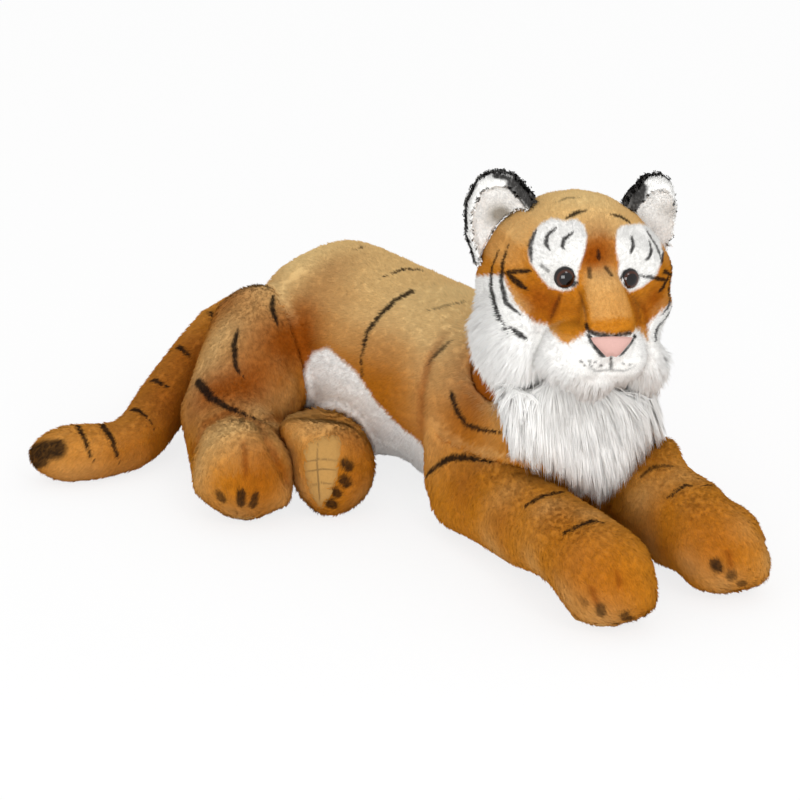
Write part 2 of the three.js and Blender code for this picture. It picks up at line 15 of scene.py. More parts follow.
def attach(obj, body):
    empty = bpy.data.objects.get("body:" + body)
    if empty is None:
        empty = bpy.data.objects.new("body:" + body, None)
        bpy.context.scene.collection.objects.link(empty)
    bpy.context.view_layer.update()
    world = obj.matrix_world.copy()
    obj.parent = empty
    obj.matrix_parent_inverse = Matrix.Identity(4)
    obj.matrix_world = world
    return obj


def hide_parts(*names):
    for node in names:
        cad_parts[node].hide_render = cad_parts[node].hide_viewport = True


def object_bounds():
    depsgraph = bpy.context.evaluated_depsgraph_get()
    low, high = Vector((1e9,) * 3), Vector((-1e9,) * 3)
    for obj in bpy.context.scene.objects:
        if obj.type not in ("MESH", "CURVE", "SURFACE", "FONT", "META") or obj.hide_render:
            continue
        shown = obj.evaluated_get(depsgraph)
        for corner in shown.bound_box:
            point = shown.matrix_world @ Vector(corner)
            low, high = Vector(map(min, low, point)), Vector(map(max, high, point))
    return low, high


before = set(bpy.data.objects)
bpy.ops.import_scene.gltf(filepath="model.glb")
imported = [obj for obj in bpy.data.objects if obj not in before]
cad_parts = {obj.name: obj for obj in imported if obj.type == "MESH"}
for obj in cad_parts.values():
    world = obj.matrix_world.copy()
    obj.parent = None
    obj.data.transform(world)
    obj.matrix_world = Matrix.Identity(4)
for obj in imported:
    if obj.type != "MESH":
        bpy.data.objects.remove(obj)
cad_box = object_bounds()

bl_info = {
    "name": "Plush Tiger",
    "version": (1, 0, 0),
    "blender": (4, 5, 0),
    "location": "3D View > Sidebar > Tiger",
    "description": "Builds the pile, face and studio of a lying plush tiger round its packed frame",
    "category": "Add Mesh",
}

MM = 0.001
PHOTO_SIDE = 800
SENSOR = 36
MM_PER_PIXEL = 0.8
SEED = 11
PIECE_TRIANGLES = 190000

# Corners of a three-sided hair, in radians round its run, and how far its root is sunk and its tip thinned
HAIR_CORNERS = (0, 2.0944, 4.18879)
ROOT_SUNK = 0.8
HAIR_TAPER = 0.45
HAIR_LIE = 0.68

# How trunk and limbs flow into each other, in millimetres and rounds of smoothing
MELT_SWELL, MELT_VOXEL, MELT_ROUNDS = 0.5, 4, 26
FLARE_GAP, FLARE_FADE = 18, 9
ROOT_REACH, ROOT_FADE = 40, 15
LIMB_SUNK = 1.2

# Reaches of searches and gaps in painted lines, in millimetres
NEAR = 30
LINE_GAP = 14
FORM_FLOOR, HAIR_FLOOR, ROOT_FLOOR = 0.4, 0.2, 1.2

# How far inside the white of the face the fluff starts and over how much it grows, in pixels
FLUFF_START, FLUFF_RUN = 13, 26

# Noise in the colour of the pile
TUFT_SCALE, CLOUD_SCALE, GRAIN_SCALE = 520.0, 40.0, 1000.0


def pigment(red, green, blue):
    """A colour given as it looks on a screen, in the linear values that Blender takes"""
    levels = [level / 255 for level in (red, green, blue)]
    return [level / 12.92 if level <= 0.04045 else ((level + 0.055) / 1.055) ** 2.4 for level in levels]


def colour(name, description, *levels):
    return FloatVectorProperty(
        name=name, description=description, default=pigment(*levels), subtype="COLOR", size=3, min=0, max=1
    )


def length(name, description, millimetres):
    size = millimetres * MM
    return FloatProperty(name=name, description=description, default=size, unit="LENGTH", precision=5)


def angle(name, description, degrees):
    return FloatProperty(name=name, description=description, default=math.radians(degrees), subtype="ANGLE")


def number(name, description, default):
    return FloatProperty(name=name, description=description, default=default, min=0)


class TigerColours(bpy.types.PropertyGroup):
    """Colours of the pile, the patches and the small parts"""

    gold: colour("Gold", "Pile of the coat", 200, 127, 32)
    # Straw is also painted top light: the coat turns to it where it faces up, and along some edges as painted
    # sheen
    straw: colour("Straw", "Pile where the coat is airbrushed light", 244, 208, 144)
    # Rust is also painted shade: the coat turns to it where it faces down, in creases and in some shadowed
    # places
    rust: colour("Rust", "Pile where the coat is airbrushed dark", 148, 74, 12)
    white: colour("White", "Pile of the bib, belly, cheeks and ears", 254, 253, 250)
    # Grey is painted shade in the white pile: in the ear hollows, under the chin and over the face's short
    # white pile
    grey: colour("Grey", "Airbrushed shade in the white pile", 158, 150, 138)
    black: colour("Black", "Stripes and backs of the ears", 24, 20, 18)
    pink: colour("Pink", "Velour of the nose", 206, 164, 155)
    tan: colour("Tan", "Suede of the soles", 184, 138, 70)
    iris: colour("Iris", "Ring of the safety eyes", 58, 26, 10)
    nylon: colour("Nylon", "Washers behind the eyes", 240, 240, 236)


class TigerPile(bpy.types.PropertyGroup):
    """Lengths of the pile"""

    coat: length("Coat", "Hairs of the trunk, legs and tail", 5.5)
    face: length("Face", "Hairs of the head", 3.0)
    velvet: length("Velvet", "Hairs on the bridge and round the mouth", 2.2)
    ear: length("Ear", "White hairs of the ears", 2.8)
    rim: length("Rim", "Black hairs on the backs of the ears", 2.0)
    fluff: length("Fluff", "White hairs on the cheeks", 16)
    lock: length("Lock", "Locks of the bib", 25)


class TigerStage(bpy.types.PropertyGroup):
    """The studio and the camera"""

    floor_size: length("Floor size", "Side of the square floor", 12000)
    distance: length("Camera distance", "From the camera to the middle of the picture", 2200)
    azimuth: angle("Azimuth", "Turn of the camera", -34)
    elevation: angle("Elevation", "Height angle of the camera", 20)
    lens: number("Lens", "Focal length in millimetres", 122.22)
    key: number("Key light", "Power of the key lamp in watts", 4)
    fill: number("Fill light", "Power of the fill lamp in watts", 18)
    sky: number("Sky", "Strength of the light from all round", 0.95)


# Camera of the photograph, which also carries pixel places onto the toy
CAMERA_TARGET = Vector((148.06, 195.33, 0)) * MM


def camera_axes():
    stage = bpy.context.scene.tiger_stage
    back = Vector((
        math.sin(stage.azimuth) * math.cos(stage.elevation),
        -math.cos(stage.azimuth) * math.cos(stage.elevation),
        math.sin(stage.elevation),
    ))
    right = Vector((0, 0, 1)).cross(back).normalized()
    return right, back.cross(right), back


def pixel_ray(pixel):
    """The start and direction of the line of sight through a pixel of the photograph"""
    stage = bpy.context.scene.tiger_stage
    right, up, back = camera_axes()
    focal = stage.lens / SENSOR * PHOTO_SIDE
    middle = PHOTO_SIDE / 2
    aside, above = pixel[0] - middle, middle - pixel[1]
    return CAMERA_TARGET + back * stage.distance, (right * aside + up * above - back * focal).normalized()


def seen_at(points):
    """The pixels of the photograph at which places appear"""
    stage = bpy.context.scene.tiger_stage
    right, up, back = (np.array(axis) for axis in camera_axes())
    offset = points - np.array(CAMERA_TARGET) - back * stage.distance
    scale = stage.lens / SENSOR * PHOTO_SIDE / -(offset @ back)
    return np.stack([PHOTO_SIDE / 2 + offset @ right * scale, PHOTO_SIDE / 2 - offset @ up * scale], axis=1)


def inside(pixels, outline):
    """Distance in pixels from an outline, positive inside it"""
    corners = np.array(outline, float)
    gap = np.full(len(pixels), np.inf)
    crossed = np.zeros(len(pixels), bool)
    for first, second in zip(corners, np.roll(corners, -1, axis=0)):
        span = second - first
        share = np.clip((pixels - first) @ span / (span @ span), 0, 1)
        gap = np.minimum(gap, np.linalg.norm(pixels - first - share[:, None] * span, axis=1))
        level = (first[1] > pixels[:, 1]) != (second[1] > pixels[:, 1])
        at = first[0] + (pixels[:, 1] - first[1]) * span[0] / (span[1] or 1)
        crossed ^= level & (pixels[:, 0] < at)
    return np.where(crossed, gap, -gap)


def eased(values):
    """A smooth step of values between 0 and 1"""
    held = np.clip(values, 0, 1)
    return held * held * (3 - 2 * held)


def faded(gap, width):
    """1 well inside an edge and 0 well outside it, fading over a width"""
    return np.clip(gap / width + 0.5, 0, 1)


# Meshes as arrays
def read(items, key, width, kind=np.float32):
    """One field of all the items of a mesh, as rows"""
    values = np.empty(len(items) * width, kind)
    items.foreach_get(key, values)
    return values.reshape(-1, width)


def mesh_arrays(mesh):
    """Places and normals of a mesh's points, and its triangles"""
    mesh.calc_loop_triangles()
    places, normals = read(mesh.vertices, "co", 3), read(mesh.vertex_normals, "vector", 3)
    return places.astype(float), normals.astype(float), read(mesh.loop_triangles, "vertices", 3, np.int32)


def unit(vectors):
    return vectors / np.maximum(np.linalg.norm(vectors, axis=-1, keepdims=True), 1e-12)


def tree_of(*meshes):
    """A search tree over the faces of several meshes"""
    points, faces = [], []
    for mesh in meshes:
        places, _, triangles = mesh_arrays(mesh)
        faces.extend((triangles + len(points)).tolist())
        points.extend(places.tolist())
    return BVHTree.FromPolygons(points, faces)


def mesh_object(name, points, triangles):
    mesh = bpy.data.meshes.new(name)
    mesh.vertices.add(len(points))
    mesh.vertices.foreach_set("co", np.asarray(points, np.float32).ravel())
    mesh.loops.add(3 * len(triangles))
    mesh.loops.foreach_set("vertex_index", np.asarray(triangles, np.int32).ravel())
    mesh.polygons.add(len(triangles))
    mesh.polygons.foreach_set("loop_start", np.arange(0, 3 * len(triangles), 3, dtype=np.int32))
    mesh.update(calc_edges=True)
    made = bpy.data.objects.new(name, mesh)
    bpy.context.scene.collection.objects.link(made)
    return made


def set_value(target, name, values, kind="FLOAT"):
    """Stores one value for each vertex"""
    layer = target.data.attributes.new(name, kind, "POINT")
    key = "value" if kind == "FLOAT" else "vector"
    layer.data.foreach_set(key, np.asarray(values, np.float32).ravel())


def select_only(*objects):
    bpy.ops.object.select_all(action="DESELECT")
    for each in objects:
        each.select_set(True)
    bpy.context.view_layer.objects.active = objects[-1]


def edit_whole(target, operator, **settings):
    """Runs a mesh operator on the whole of a piece"""
    select_only(target)
    bpy.ops.object.mode_set(mode="EDIT")
    bpy.ops.mesh.select_all(action="SELECT")
    operator(**settings)
    bpy.ops.object.mode_set(mode="OBJECT")


def apply_modifier(target, kind, **settings):
    modifier = target.modifiers.new(kind, kind)
    for key, value in settings.items():
        setattr(modifier, key, value)
    select_only(target)
    bpy.ops.object.modifier_apply(modifier=modifier.name)


def shade_smooth(target):
    select_only(target)
    bpy.ops.object.shade_smooth()


# Painted lines and airbrushed clouds, which carry both the coat's airbrush and painted light and shade,
# placed by pixels of the photograph
@dataclass
class Stroke:
    """A painted line or a crease: its pixels, its greatest width, where it tapers, how strong it is, and
    whether the far side of a limb has it too"""

    pixels: list
    width: float
    taper: str = "both"
    strength: float = 1.0
    both_sides: bool = True


def strokes(*rows):
    return [Stroke(*row) for row in rows]


TRUNK_STROKES = strokes(
    ([(451, 394), (457, 412), (467, 426), (485, 431), (508, 433)], 4.6, "end"),
    ([(474, 334), (476, 350), (482, 371)], 5, "both", 0.9), ([(353, 251), (371, 245)], 2.8, "both", 0.7),
    ([(378, 279), (405, 269), (435, 273)], 3.4),
    ([(411, 292), (396, 300), (380, 315), (367, 333), (361, 359), (363, 386)], 5.6, "end"),
    ([(466, 301), (425, 312)], 3, "both", 0.6), ([(453, 339), (441, 350), (427, 366)], 4, "both", 0.8),
)
THIGH_STROKES = strokes(
    ([(239, 325), (234, 345), (236, 368), (246, 381)], 4.4),
    ([(198, 382), (211, 398), (227, 408), (252, 418), (274, 428)], 7, "end"),
    ([(279, 285), (274, 293), (272, 308), (279, 331)], 4.4),
    ([(222, 427), (235, 420), (248, 425)], 3, "both", 0.55),
)
TAIL_STROKES = strokes(
    ([(243, 287), (242, 294), (240, 303)], 4.4, "end"), ([(208, 309), (215, 322), (223, 334)], 4.4, "end"),
    ([(171, 342), (182, 350), (193, 360)], 4.8, "end"), ([(148, 379), (158, 383), (170, 389)], 5.4, "end"),
    ([(128, 409), (137, 411), (148, 419), (156, 432)], 4.6, "end"),
    ([(101, 425), (111, 438), (119, 465)], 5.2, "end"),
    ([(78, 427), (84, 440), (90, 456), (94, 463)], 3.8, "end"),
    ([(56, 449), (46, 450), (34, 453)], 16, "none", 0.95, False),
    ([(43, 460), (35, 463)], 10, "none", 0.9, False),
)
RIGHT_FORELEG_STROKES = strokes(
    ([(426, 478), (438, 466), (450, 459), (465, 458), (502, 464)], 5.6),
    ([(521, 510), (533, 502), (545, 496), (562, 493), (577, 495)], 4.4),
    ([(559, 536), (570, 531), (583, 525), (595, 521), (606, 525)], 4.8),
    ([(601, 607), (602, 613)], 7, "none", 0.75, False), ([(625, 614), (628, 618)], 7.5, "none", 0.8, False),
    ([(583, 600), (586, 604)], 5, "none", 0.45, False),
)
LEFT_FORELEG_STROKES = strokes(
    ([(667, 500), (676, 492), (686, 486), (694, 487)], 4.2), ([(699, 487), (706, 486), (713, 487)], 4),
    ([(636, 482), (651, 469), (664, 466), (677, 468)], 4, "both", 0.8),
    ([(716, 564), (718, 568)], 8, "none", 0.9, False), ([(731, 574), (733, 577)], 7, "none", 0.7, False),
    ([(741, 582), (743, 584)], 6, "none", 0.7, False),
)
HIND_PAW_STROKES = strokes(
    ([(220, 495), (223, 499)], 7, "none", 0.75), ([(241, 493), (241, 503)], 6.6, "none", 0.9),
    ([(255, 496), (252, 505)], 6, "none", 0.85),
)
LEFT_PAW_STROKES = strokes(
    ([(345, 464), (348, 467)], 8, "none", 0.9), ([(343, 480), (346, 483)], 8, "none", 0.9),
    ([(334, 491), (337, 494)], 7, "none", 0.9), ([(330, 502), (332, 505)], 8, "none", 0.9),
)
FACE_STROKES = strokes(
    ([(565, 219), (576, 213), (588, 210)], 3.4), ([(609, 214), (621, 217), (633, 225)], 3.4),
    ([(554, 203), (568, 198), (581, 198)], 2.4, "both", 0.6), ([(611, 199), (625, 206)], 2.4, "both", 0.6),
    ([(598, 249), (599, 261)], 3.4, "both", 0.9), ([(589, 269), (590, 277)], 3.2, "none", 0.8),
    ([(606, 268), (611, 275)], 3.2, "none", 0.8), ([(558, 226), (547, 236), (546, 244), (551, 252)], 3),
    ([(575, 231), (564, 239), (562, 246), (566, 251)], 3), ([(631, 235), (633, 246), (630, 255)], 2.8),
    ([(648, 238), (651, 249), (649, 257), (644, 262)], 3),
    ([(537, 228), (530, 245), (532, 264)], 3.6, "both", 0.95),
    ([(659, 237), (663, 252), (660, 267)], 3.2, "both", 0.9), ([(541, 265), (548, 271)], 2.4, "none", 0.6),
    ([(638, 275), (651, 277), (671, 281)], 2.8),
    ([(501, 246), (492, 268), (491, 289), (498, 316), (510, 338)], 4),
    ([(510, 241), (503, 262), (501, 282), (506, 303), (524, 318)], 3.8),
    ([(508, 326), (517, 333), (528, 340)], 4), ([(502, 273), (519, 271), (534, 271)], 3.4),
    ([(506, 273), (517, 282), (529, 291)], 4.8),
    ([(556, 277), (559, 270), (565, 268), (571, 270), (574, 277), (572, 284), (566, 287), (560, 285)],
     2.4, "none"),
    ([(572, 285), (579, 281)], 3.6, "end"),
    ([(621, 279), (624, 272), (630, 270), (635, 273), (638, 279), (635, 285), (630, 287), (624, 284)],
     2.4, "none"),
    ([(586, 325), (589, 331), (599, 335), (614, 336), (630, 333), (639, 328)], 3.6, "none"),
    ([(589, 336), (595, 346), (603, 356)], 4.2, "none"), ([(635, 336), (628, 347), (621, 355)], 3, "none"),
    ([(611, 356), (611, 369)], 2, "none", 0.85),
    ([(584, 366), (597, 371), (611, 370), (625, 371), (637, 365)], 2.2, "both", 0.45),
    # The next three lines are painted shade along the muzzle creases
    ([(561, 293), (556, 306), (549, 322)], 2.6, "both", 0.5),
    ([(578, 288), (584, 306), (587, 324)], 2.2, "both", 0.45),
    ([(630, 292), (638, 306), (641, 325)], 2.2, "both", 0.4),
    *(([(x, y), (x + run, y + 1)], 1.6, "none", 0.8) for x, y, run in (
        (580, 361, 2), (584, 365, 1), (589, 361, 1), (590, 365, 1), (595, 362, 1), (600, 365, 2),
    )),
    ([(622, 363), (624, 364)], 1.5, "none", 0.6), ([(629, 364), (630, 365)], 1.5, "none", 0.6),
)
RIGHT_EAR_STROKES = strokes(
    ([(496, 176), (507, 178), (518, 184), (528, 193)], 4.6, "none"),
    ([(513, 184), (525, 195), (533, 207)], 10, "none"),
)
LEFT_EAR_STROKES = strokes(([(650, 178), (642, 184), (639, 194), (636, 206)], 10, "none"))

# Airbrushed clouds, partly the coat's airbrush and partly painted light and shade: pixel across, pixel down,
# radius in millimetres and strength
# Darker rust airbrush together with painted shade in shadowed places, such as behind the ruff and beside the
# hind paw
RUST_AND_SHADE_CLOUDS = [
    (150, 395, 40, 0.22), (385, 355, 53, 0.25), (270, 348, 32, 0.68), (300, 342, 25, 0.61),
    (305, 310, 21, 0.29), (235, 398, 30, 0.4), (255, 385, 21, 0.36), (333, 272, 25, 0.4),
    (345, 300, 18, 0.18), (470, 360, 34, 0.36), (485, 385, 23, 0.43), (470, 415, 21, 0.29),
    (440, 445, 25, 0.22), (228, 300, 34, 0.58), (190, 355, 32, 0.58), (205, 395, 32, 0.65),
    (170, 405, 28, 0.43), (150, 440, 25, 0.22), (120, 450, 21, 0.18), (264, 455, 21, 0.36),
    (256, 488, 23, 0.43), (282, 440, 14, 0.65), (352, 440, 16, 0.36), (352, 480, 16, 0.25),
    (465, 478, 21, 0.36), (500, 522, 18, 0.36), (470, 500, 18, 0.22), (560, 515, 21, 0.25),
    (575, 560, 28, 0.32), (615, 585, 25, 0.32), (700, 530, 28, 0.32), (725, 552, 21, 0.29),
    (650, 520, 21, 0.22), (545, 302, 14, 0.5), (530, 296, 14, 0.3), (653, 300, 11, 0.7),
    (600, 236, 17, 0.4), (599, 257, 14, 0.55), (588, 258, 8, 0.4),
]
# Light straw airbrush together with painted top light and painted sheen along lit edges; the negative ones
# take straw off the muzzle, bridge and hind paw
STRAW_AND_LIGHT_CLOUDS = [
    (238, 430, 30, -0.3), (300, 262, 28, 0.28), (262, 288, 25, 0.33), (225, 332, 23, 0.39),
    (205, 368, 21, 0.39), (192, 405, 21, 0.33), (234, 378, 14, 0.22), (283, 402, 21, 0.36),
    (264, 414, 16, 0.28), (350, 325, 30, 0.17), (395, 320, 28, 0.19), (440, 320, 30, 0.28),
    (455, 300, 28, 0.3), (432, 360, 23, 0.3), (428, 405, 25, 0.3), (455, 385, 14, 0.22),
    (430, 450, 23, 0.22), (214, 438, 25, 0.41), (243, 426, 18, 0.33), (201, 480, 16, 0.33),
    (238, 513, 14, 0.28), (278, 500, 14, 0.22), (297, 450, 16, 0.33), (322, 426, 16, 0.28),
    (300, 488, 14, 0.28), (362, 495, 14, 0.22), (60, 474, 21, 0.22), (95, 474, 21, 0.17),
    (130, 468, 18, 0.17), (432, 492, 25, 0.33), (452, 520, 23, 0.33), (495, 548, 18, 0.28),
    (530, 568, 16, 0.25), (490, 450, 16, 0.19), (505, 495, 16, 0.17), (548, 507, 14, 0.22),
    (592, 514, 14, 0.22), (560, 598, 16, 0.28), (600, 620, 18, 0.33), (650, 605, 12, 0.22),
    (682, 478, 14, 0.19), (640, 500, 18, 0.28), (652, 545, 14, 0.22), (766, 560, 14, 0.28),
    (722, 584, 14, 0.28), (690, 566, 14, 0.22), (745, 530, 12, 0.14), (568, 328, 13, -0.8),
    (580, 318, 8, -0.4), (612, 302, 24, -0.2), (583, 197, 26, 0.3), (452, 312, 22, 0.4),
]
# Painted shade in the white pile: in the ear hollows, beside the right eye and under the chin
SHADE_GREY_CLOUDS = [
    (497, 215, 9, 0.9), (505, 216, 6, 0.7), (668, 212, 8, 0.5), (552, 278, 9, 0.28), (560, 395, 16, 0.25),
    (600, 395, 18, 0.25), (640, 395, 16, 0.25),
]

# Creases sewn into the covers; where they draw in, they also darken the pile with painted shade
FACE_CREASES = strokes(
    ([(561, 292), (556, 305), (548, 325)], 5, "both", 1.2),
    ([(578, 288), (585, 310), (588, 332)], 5, "both", 1.4),
    ([(627, 290), (636, 310), (639, 331)], 5, "both", 1.2),
    ([(634, 293), (645, 312), (649, 341)], 4, "both", 0.8), ([(611, 356), (611, 372)], 4, "none", 1.2),
    ([(552, 342), (546, 362), (548, 388)], 22, "none", -5),
    ([(652, 352), (651, 374), (646, 390)], 18, "none", -4),
)
TRUNK_CREASES = strokes(([(449, 328), (430, 358), (422, 392), (421, 440)], 9, "both", 1.6))
FORELEG_CREASES = strokes(
    ([(616, 569), (619, 580), (619, 592)], 5, "both", 1.0),
    ([(592, 583), (594, 596), (600, 608)], 5, "both", 0.9),
)
LEFT_FORELEG_CREASES = strokes(([(727, 548), (730, 560), (731, 572)], 5, "both", 1.0))
HIND_CREASES = strokes(
    ([(193, 452), (205, 425), (233, 411), (258, 423), (273, 452), (287, 483)], 9, "none", 2.6),
    ([(243, 436), (245, 460), (246, 482)], 5, "both", 0.9),
    ([(261, 421), (290, 418), (305, 411), (318, 366)], 9, "both", 2.0),
)

# Dents and bulges: pixel across and down, move across, down and out of the picture, reach
TRUNK_PULLS = [(365, 245, 0, -5, 0, 42), (400, 462, 4, -9, 0, 26)]
TAIL_PULLS = [(35, 450, -10, 2, 0, 26), (115, 425, 0, 3, 0, 26), (170, 345, 2, 2, 0, 36)]
RIGHT_FORELEG_PULLS = [(445, 516, -11, 4, 0, 34), (648, 608, 7, 3, 0, 24), (540, 596, 3, -12, 0, 36)]
LEFT_FORELEG_PULLS = [(766, 582, 7, 5, 0, 20), (676, 578, 0, -5, 0, 16), (664, 452, 10, -14, 0, 24)]
HIND_PAW_PULLS = [(198, 486, -4, 2, 0, 18), (284, 498, 4, 3, 0, 14)]
LEFT_HINDLEG_PULLS = [
    (298, 434, -14, -2, 0, 20), (308, 424, -16, -8, 0, 16), (330, 408, 0, 1, 0, 24),
    (328, 514, 0, 4, 0, 18),
]
FACE_PULLS = [(668, 262, 6, 0, 0, 32), (676, 336, -14, 0, 0, 22)]
BIB_PULLS = [
    (678, 366, -10, 0, 0, 22), (505, 392, -2, -8, 10, 24), (556, 388, 0, -12, 6, 30),
    (646, 388, 0, -10, 6, 26),
]

# Outlines in the photograph
RIGHT_PATCH = [
    (530, 262), (528.5, 252), (529.5, 243), (534, 232), (541, 223.5), (552, 218), (565, 221), (576, 219),
    (584, 225), (587, 236), (585, 249), (581, 262), (578, 271), (577, 284), (570, 290), (561, 291),
    (549, 287), (541, 278), (534, 268),
]
LEFT_PATCH = [
    (617, 230), (622, 225.5), (630, 225), (640, 223.5), (651, 228), (659, 237), (663, 252), (660, 266),
    (655, 277), (642, 287), (630, 292), (623, 286), (618, 275), (619, 262), (616, 249), (616, 238),
]
WHITE_FACE = [
    (455, 276), (480, 276), (491, 275), (503, 275), (509, 289), (514, 301), (522, 311), (534, 322),
    (547, 325), (552, 333), (560, 341), (568, 344), (578, 338), (587, 331), (600, 334), (614, 336),
    (630, 334), (638, 329), (648, 341), (648, 324), (656, 316), (670, 303), (720, 280), (720, 460),
    (430, 460), (430, 276),
]
MOUTH = [
    (572, 338), (590, 330), (640, 330), (648, 342), (645, 362), (632, 373), (610, 378), (588, 374),
    (571, 362), (564, 350),
]
BRIDGE = [
    (588, 268), (607, 268), (625, 285), (640, 315), (641, 332), (587, 332), (582, 310), (577, 290),
]
EAR_WEDGE = [
    (478, 280), (484, 245), (498, 228), (516, 218), (508, 246), (498, 275),
]
EAR_BLACKS = {
    "right_ear": [(494, 160), (560, 160), (560, 260), (520, 240), (486, 200)],
    "left_ear": [(600, 160), (652, 160), (650, 190), (642, 215), (600, 240)],
}
NOSE_PAD = [
    (590, 337.5), (600, 336.5), (612, 336.2), (624, 336.4), (634, 337), (631, 342), (625, 349), (620, 355),
    (616, 357.5), (611.5, 356), (607, 357.5), (603, 354), (598, 348.5), (593, 343),
]
LEFT_SOLE_PAD = [
    (303, 450), (308, 442), (316, 437), (328, 434), (339, 434), (342, 442), (341, 453), (338, 478),
    (333, 492), (327, 505), (322, 510), (317, 509), (310, 496), (305, 478), (303, 464),
]
BIB_OUTLINE = [
    (470, 260), (478, 345), (492, 376), (510, 396), (522, 418), (531, 442), (548, 456), (577, 473),
    (600, 479), (622, 470), (638, 460), (664, 442), (660, 416), (650, 386), (650, 340), (660, 260),
]
BIB_EDGE = [
    (460, 300), (474, 349), (481, 370), (484, 387), (492, 400), (484, 414), (500, 421), (508, 432),
    (511, 462), (522, 464), (530, 474), (546, 480), (574, 495), (590, 498), (599, 508), (612, 498),
    (624, 490), (634, 478), (649, 465), (661, 458), (677, 449), (674, 435), (664, 412), (655, 390),
    (652, 370), (670, 300),
]
LEFT_FORELEG_OUTLINE = [
    (560, 430), (620, 380), (655, 385), (664, 412), (674, 440), (681, 456), (686, 466), (698, 472),
    (715, 485), (734, 508), (749, 521), (761, 539), (770, 557), (772, 571), (768, 588), (742, 596),
    (700, 596), (640, 560), (560, 520),
]
SOLE_LINES = strokes(
    ([(318, 440), (317, 462), (320, 506)], 1.3, "both", 0.8),
    ([(304, 462), (322, 459), (340, 461)], 1.2, "both", 0.7),
    ([(305, 472), (322, 469), (338, 470)], 1.2, "both", 0.7),
    ([(308, 486), (322, 483), (335, 484)], 1.2, "both", 0.7),
)
EYES = {"right": ((565, 277.6), 7.5), "left": ((629.6, 278.6), 7.0)}

cad_tree = tree_of(*(each.data for name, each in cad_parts.items() if "filling" not in name))


def cast(pixels, step=4, tree=cad_tree):
    """Places on the toy under a line of pixels"""
    found = []
    for start, end in zip(pixels[:-1], pixels[1:]):
        count = max(1, int(math.dist(start, end) / step))
        for k in range(count + (end == pixels[-1])):
            share = k / count
            pixel = [a + (b - a) * share for a, b in zip(start, end)]
            place = tree.ray_cast(*pixel_ray(pixel))[0]
            if place is not None:
                found.append(place)
    return np.array(found)


def run_along(line):
    """The length of a line up to each of its places"""
    return np.concatenate([[0], np.cumsum(np.linalg.norm(np.diff(line, axis=0), axis=1))])


def half_width(stroke, share):
    """Half the width of a painted line at shares of its run"""
    full = stroke.width * MM / 2
    if stroke.taper == "both":
        return full * (1 - np.abs(2 * share - 1) ** 2.6)
    if stroke.taper == "end":
        return full * (1 - share**2.2)
    return np.full_like(share, full)


def stroke_mask(points, line, stroke):
    """How dark a painted line is at each point"""
    dark = np.zeros(len(points))
    if len(line) < 2:
        return dark
    low, high = line.min(0) - stroke.width * MM, line.max(0) + stroke.width * MM
    near = np.flatnonzero(((points > low) & (points < high)).all(1))
    spots = points[near]
    run = run_along(line)
    run /= max(run[-1], 1e-9)
    best = np.zeros(len(near))
    for k in range(len(line) - 1):
        span = line[k + 1] - line[k]
        if np.linalg.norm(span) > LINE_GAP * MM:
            continue
        share = np.clip((spots - line[k]) @ span / max(span @ span, 1e-12), 0, 1)
        gap = np.linalg.norm(spots - line[k] - share[:, None] * span, axis=1)
        half = half_width(stroke, run[k] + share * (run[k + 1] - run[k]))
        soft = eased((half * 1.3 + 0.2 * MM - gap) / (half * 0.6 + 0.4 * MM))
        best = np.maximum(best, soft * (half > 0.12 * MM))
    dark[near] = best * stroke.strength
    return dark


# The head's own frame, in which the face is symmetric, and the pixel up to which its right side goes
LEFT_HALF = 540
HEAD_PLACE = Vector((90.356, -100.062, 186)) * MM
HEAD_YAW = math.radians(-19)
HEAD_ROLL = math.radians(5)


def head_matrix():
    turn = Matrix.Rotation(HEAD_YAW, 4, "Z") @ Matrix.Rotation(HEAD_ROLL, 4, "Y")
    return Matrix.Translation(HEAD_PLACE) @ turn


def moved_by(matrix, points, place=True):
    table = np.array(matrix)
    return points @ table[:3, :3].T + table[:3, 3] * place


def across_the_head(line, place=True):
    """Places, or directions, mirrored to the other side of the face"""
    return moved_by(head_matrix(), moved_by(head_matrix().inverted(), line, place) * (-1, 1, 1), place)


def face_pixels(points, normals):
    """Pixels of places on the head, or of their mirror images where those face the camera more"""
    back = np.array(camera_axes()[2])
    own, other = normals @ back, across_the_head(normals, False) @ back
    turned = (other > own) & (own < 0.06)
    seen = np.where(turned[:, None], across_the_head(points), points)
    return seen_at(seen), np.where(turned, other, own)


def across_the_limb(line, form_points, radius):
    """A line reflected through the upright middle plane of the limb beneath it"""
    near = form_points[np.linalg.norm(form_points - line[len(line) // 2], axis=1) < radius]
    if len(near) < 8:
        return line
    middle = near.mean(0)
    along = np.linalg.svd(near[:, :2] - middle[:2], full_matrices=False)[2][0]
    across = np.array((-along[1], along[0], 0))
    return line - 2 * ((line - middle) @ across)[:, None] * across


def snapped(line, tree, reach, facing=2.0):
    """A line laid onto a cover, without the places that lie off it or face the camera more than a limit"""
    back = camera_axes()[2]
    near = [tree.find_nearest(place, reach)[:2] for place in line.tolist()]
    return np.array([place for place, normal in near if place is not None and normal.dot(back) < facing])


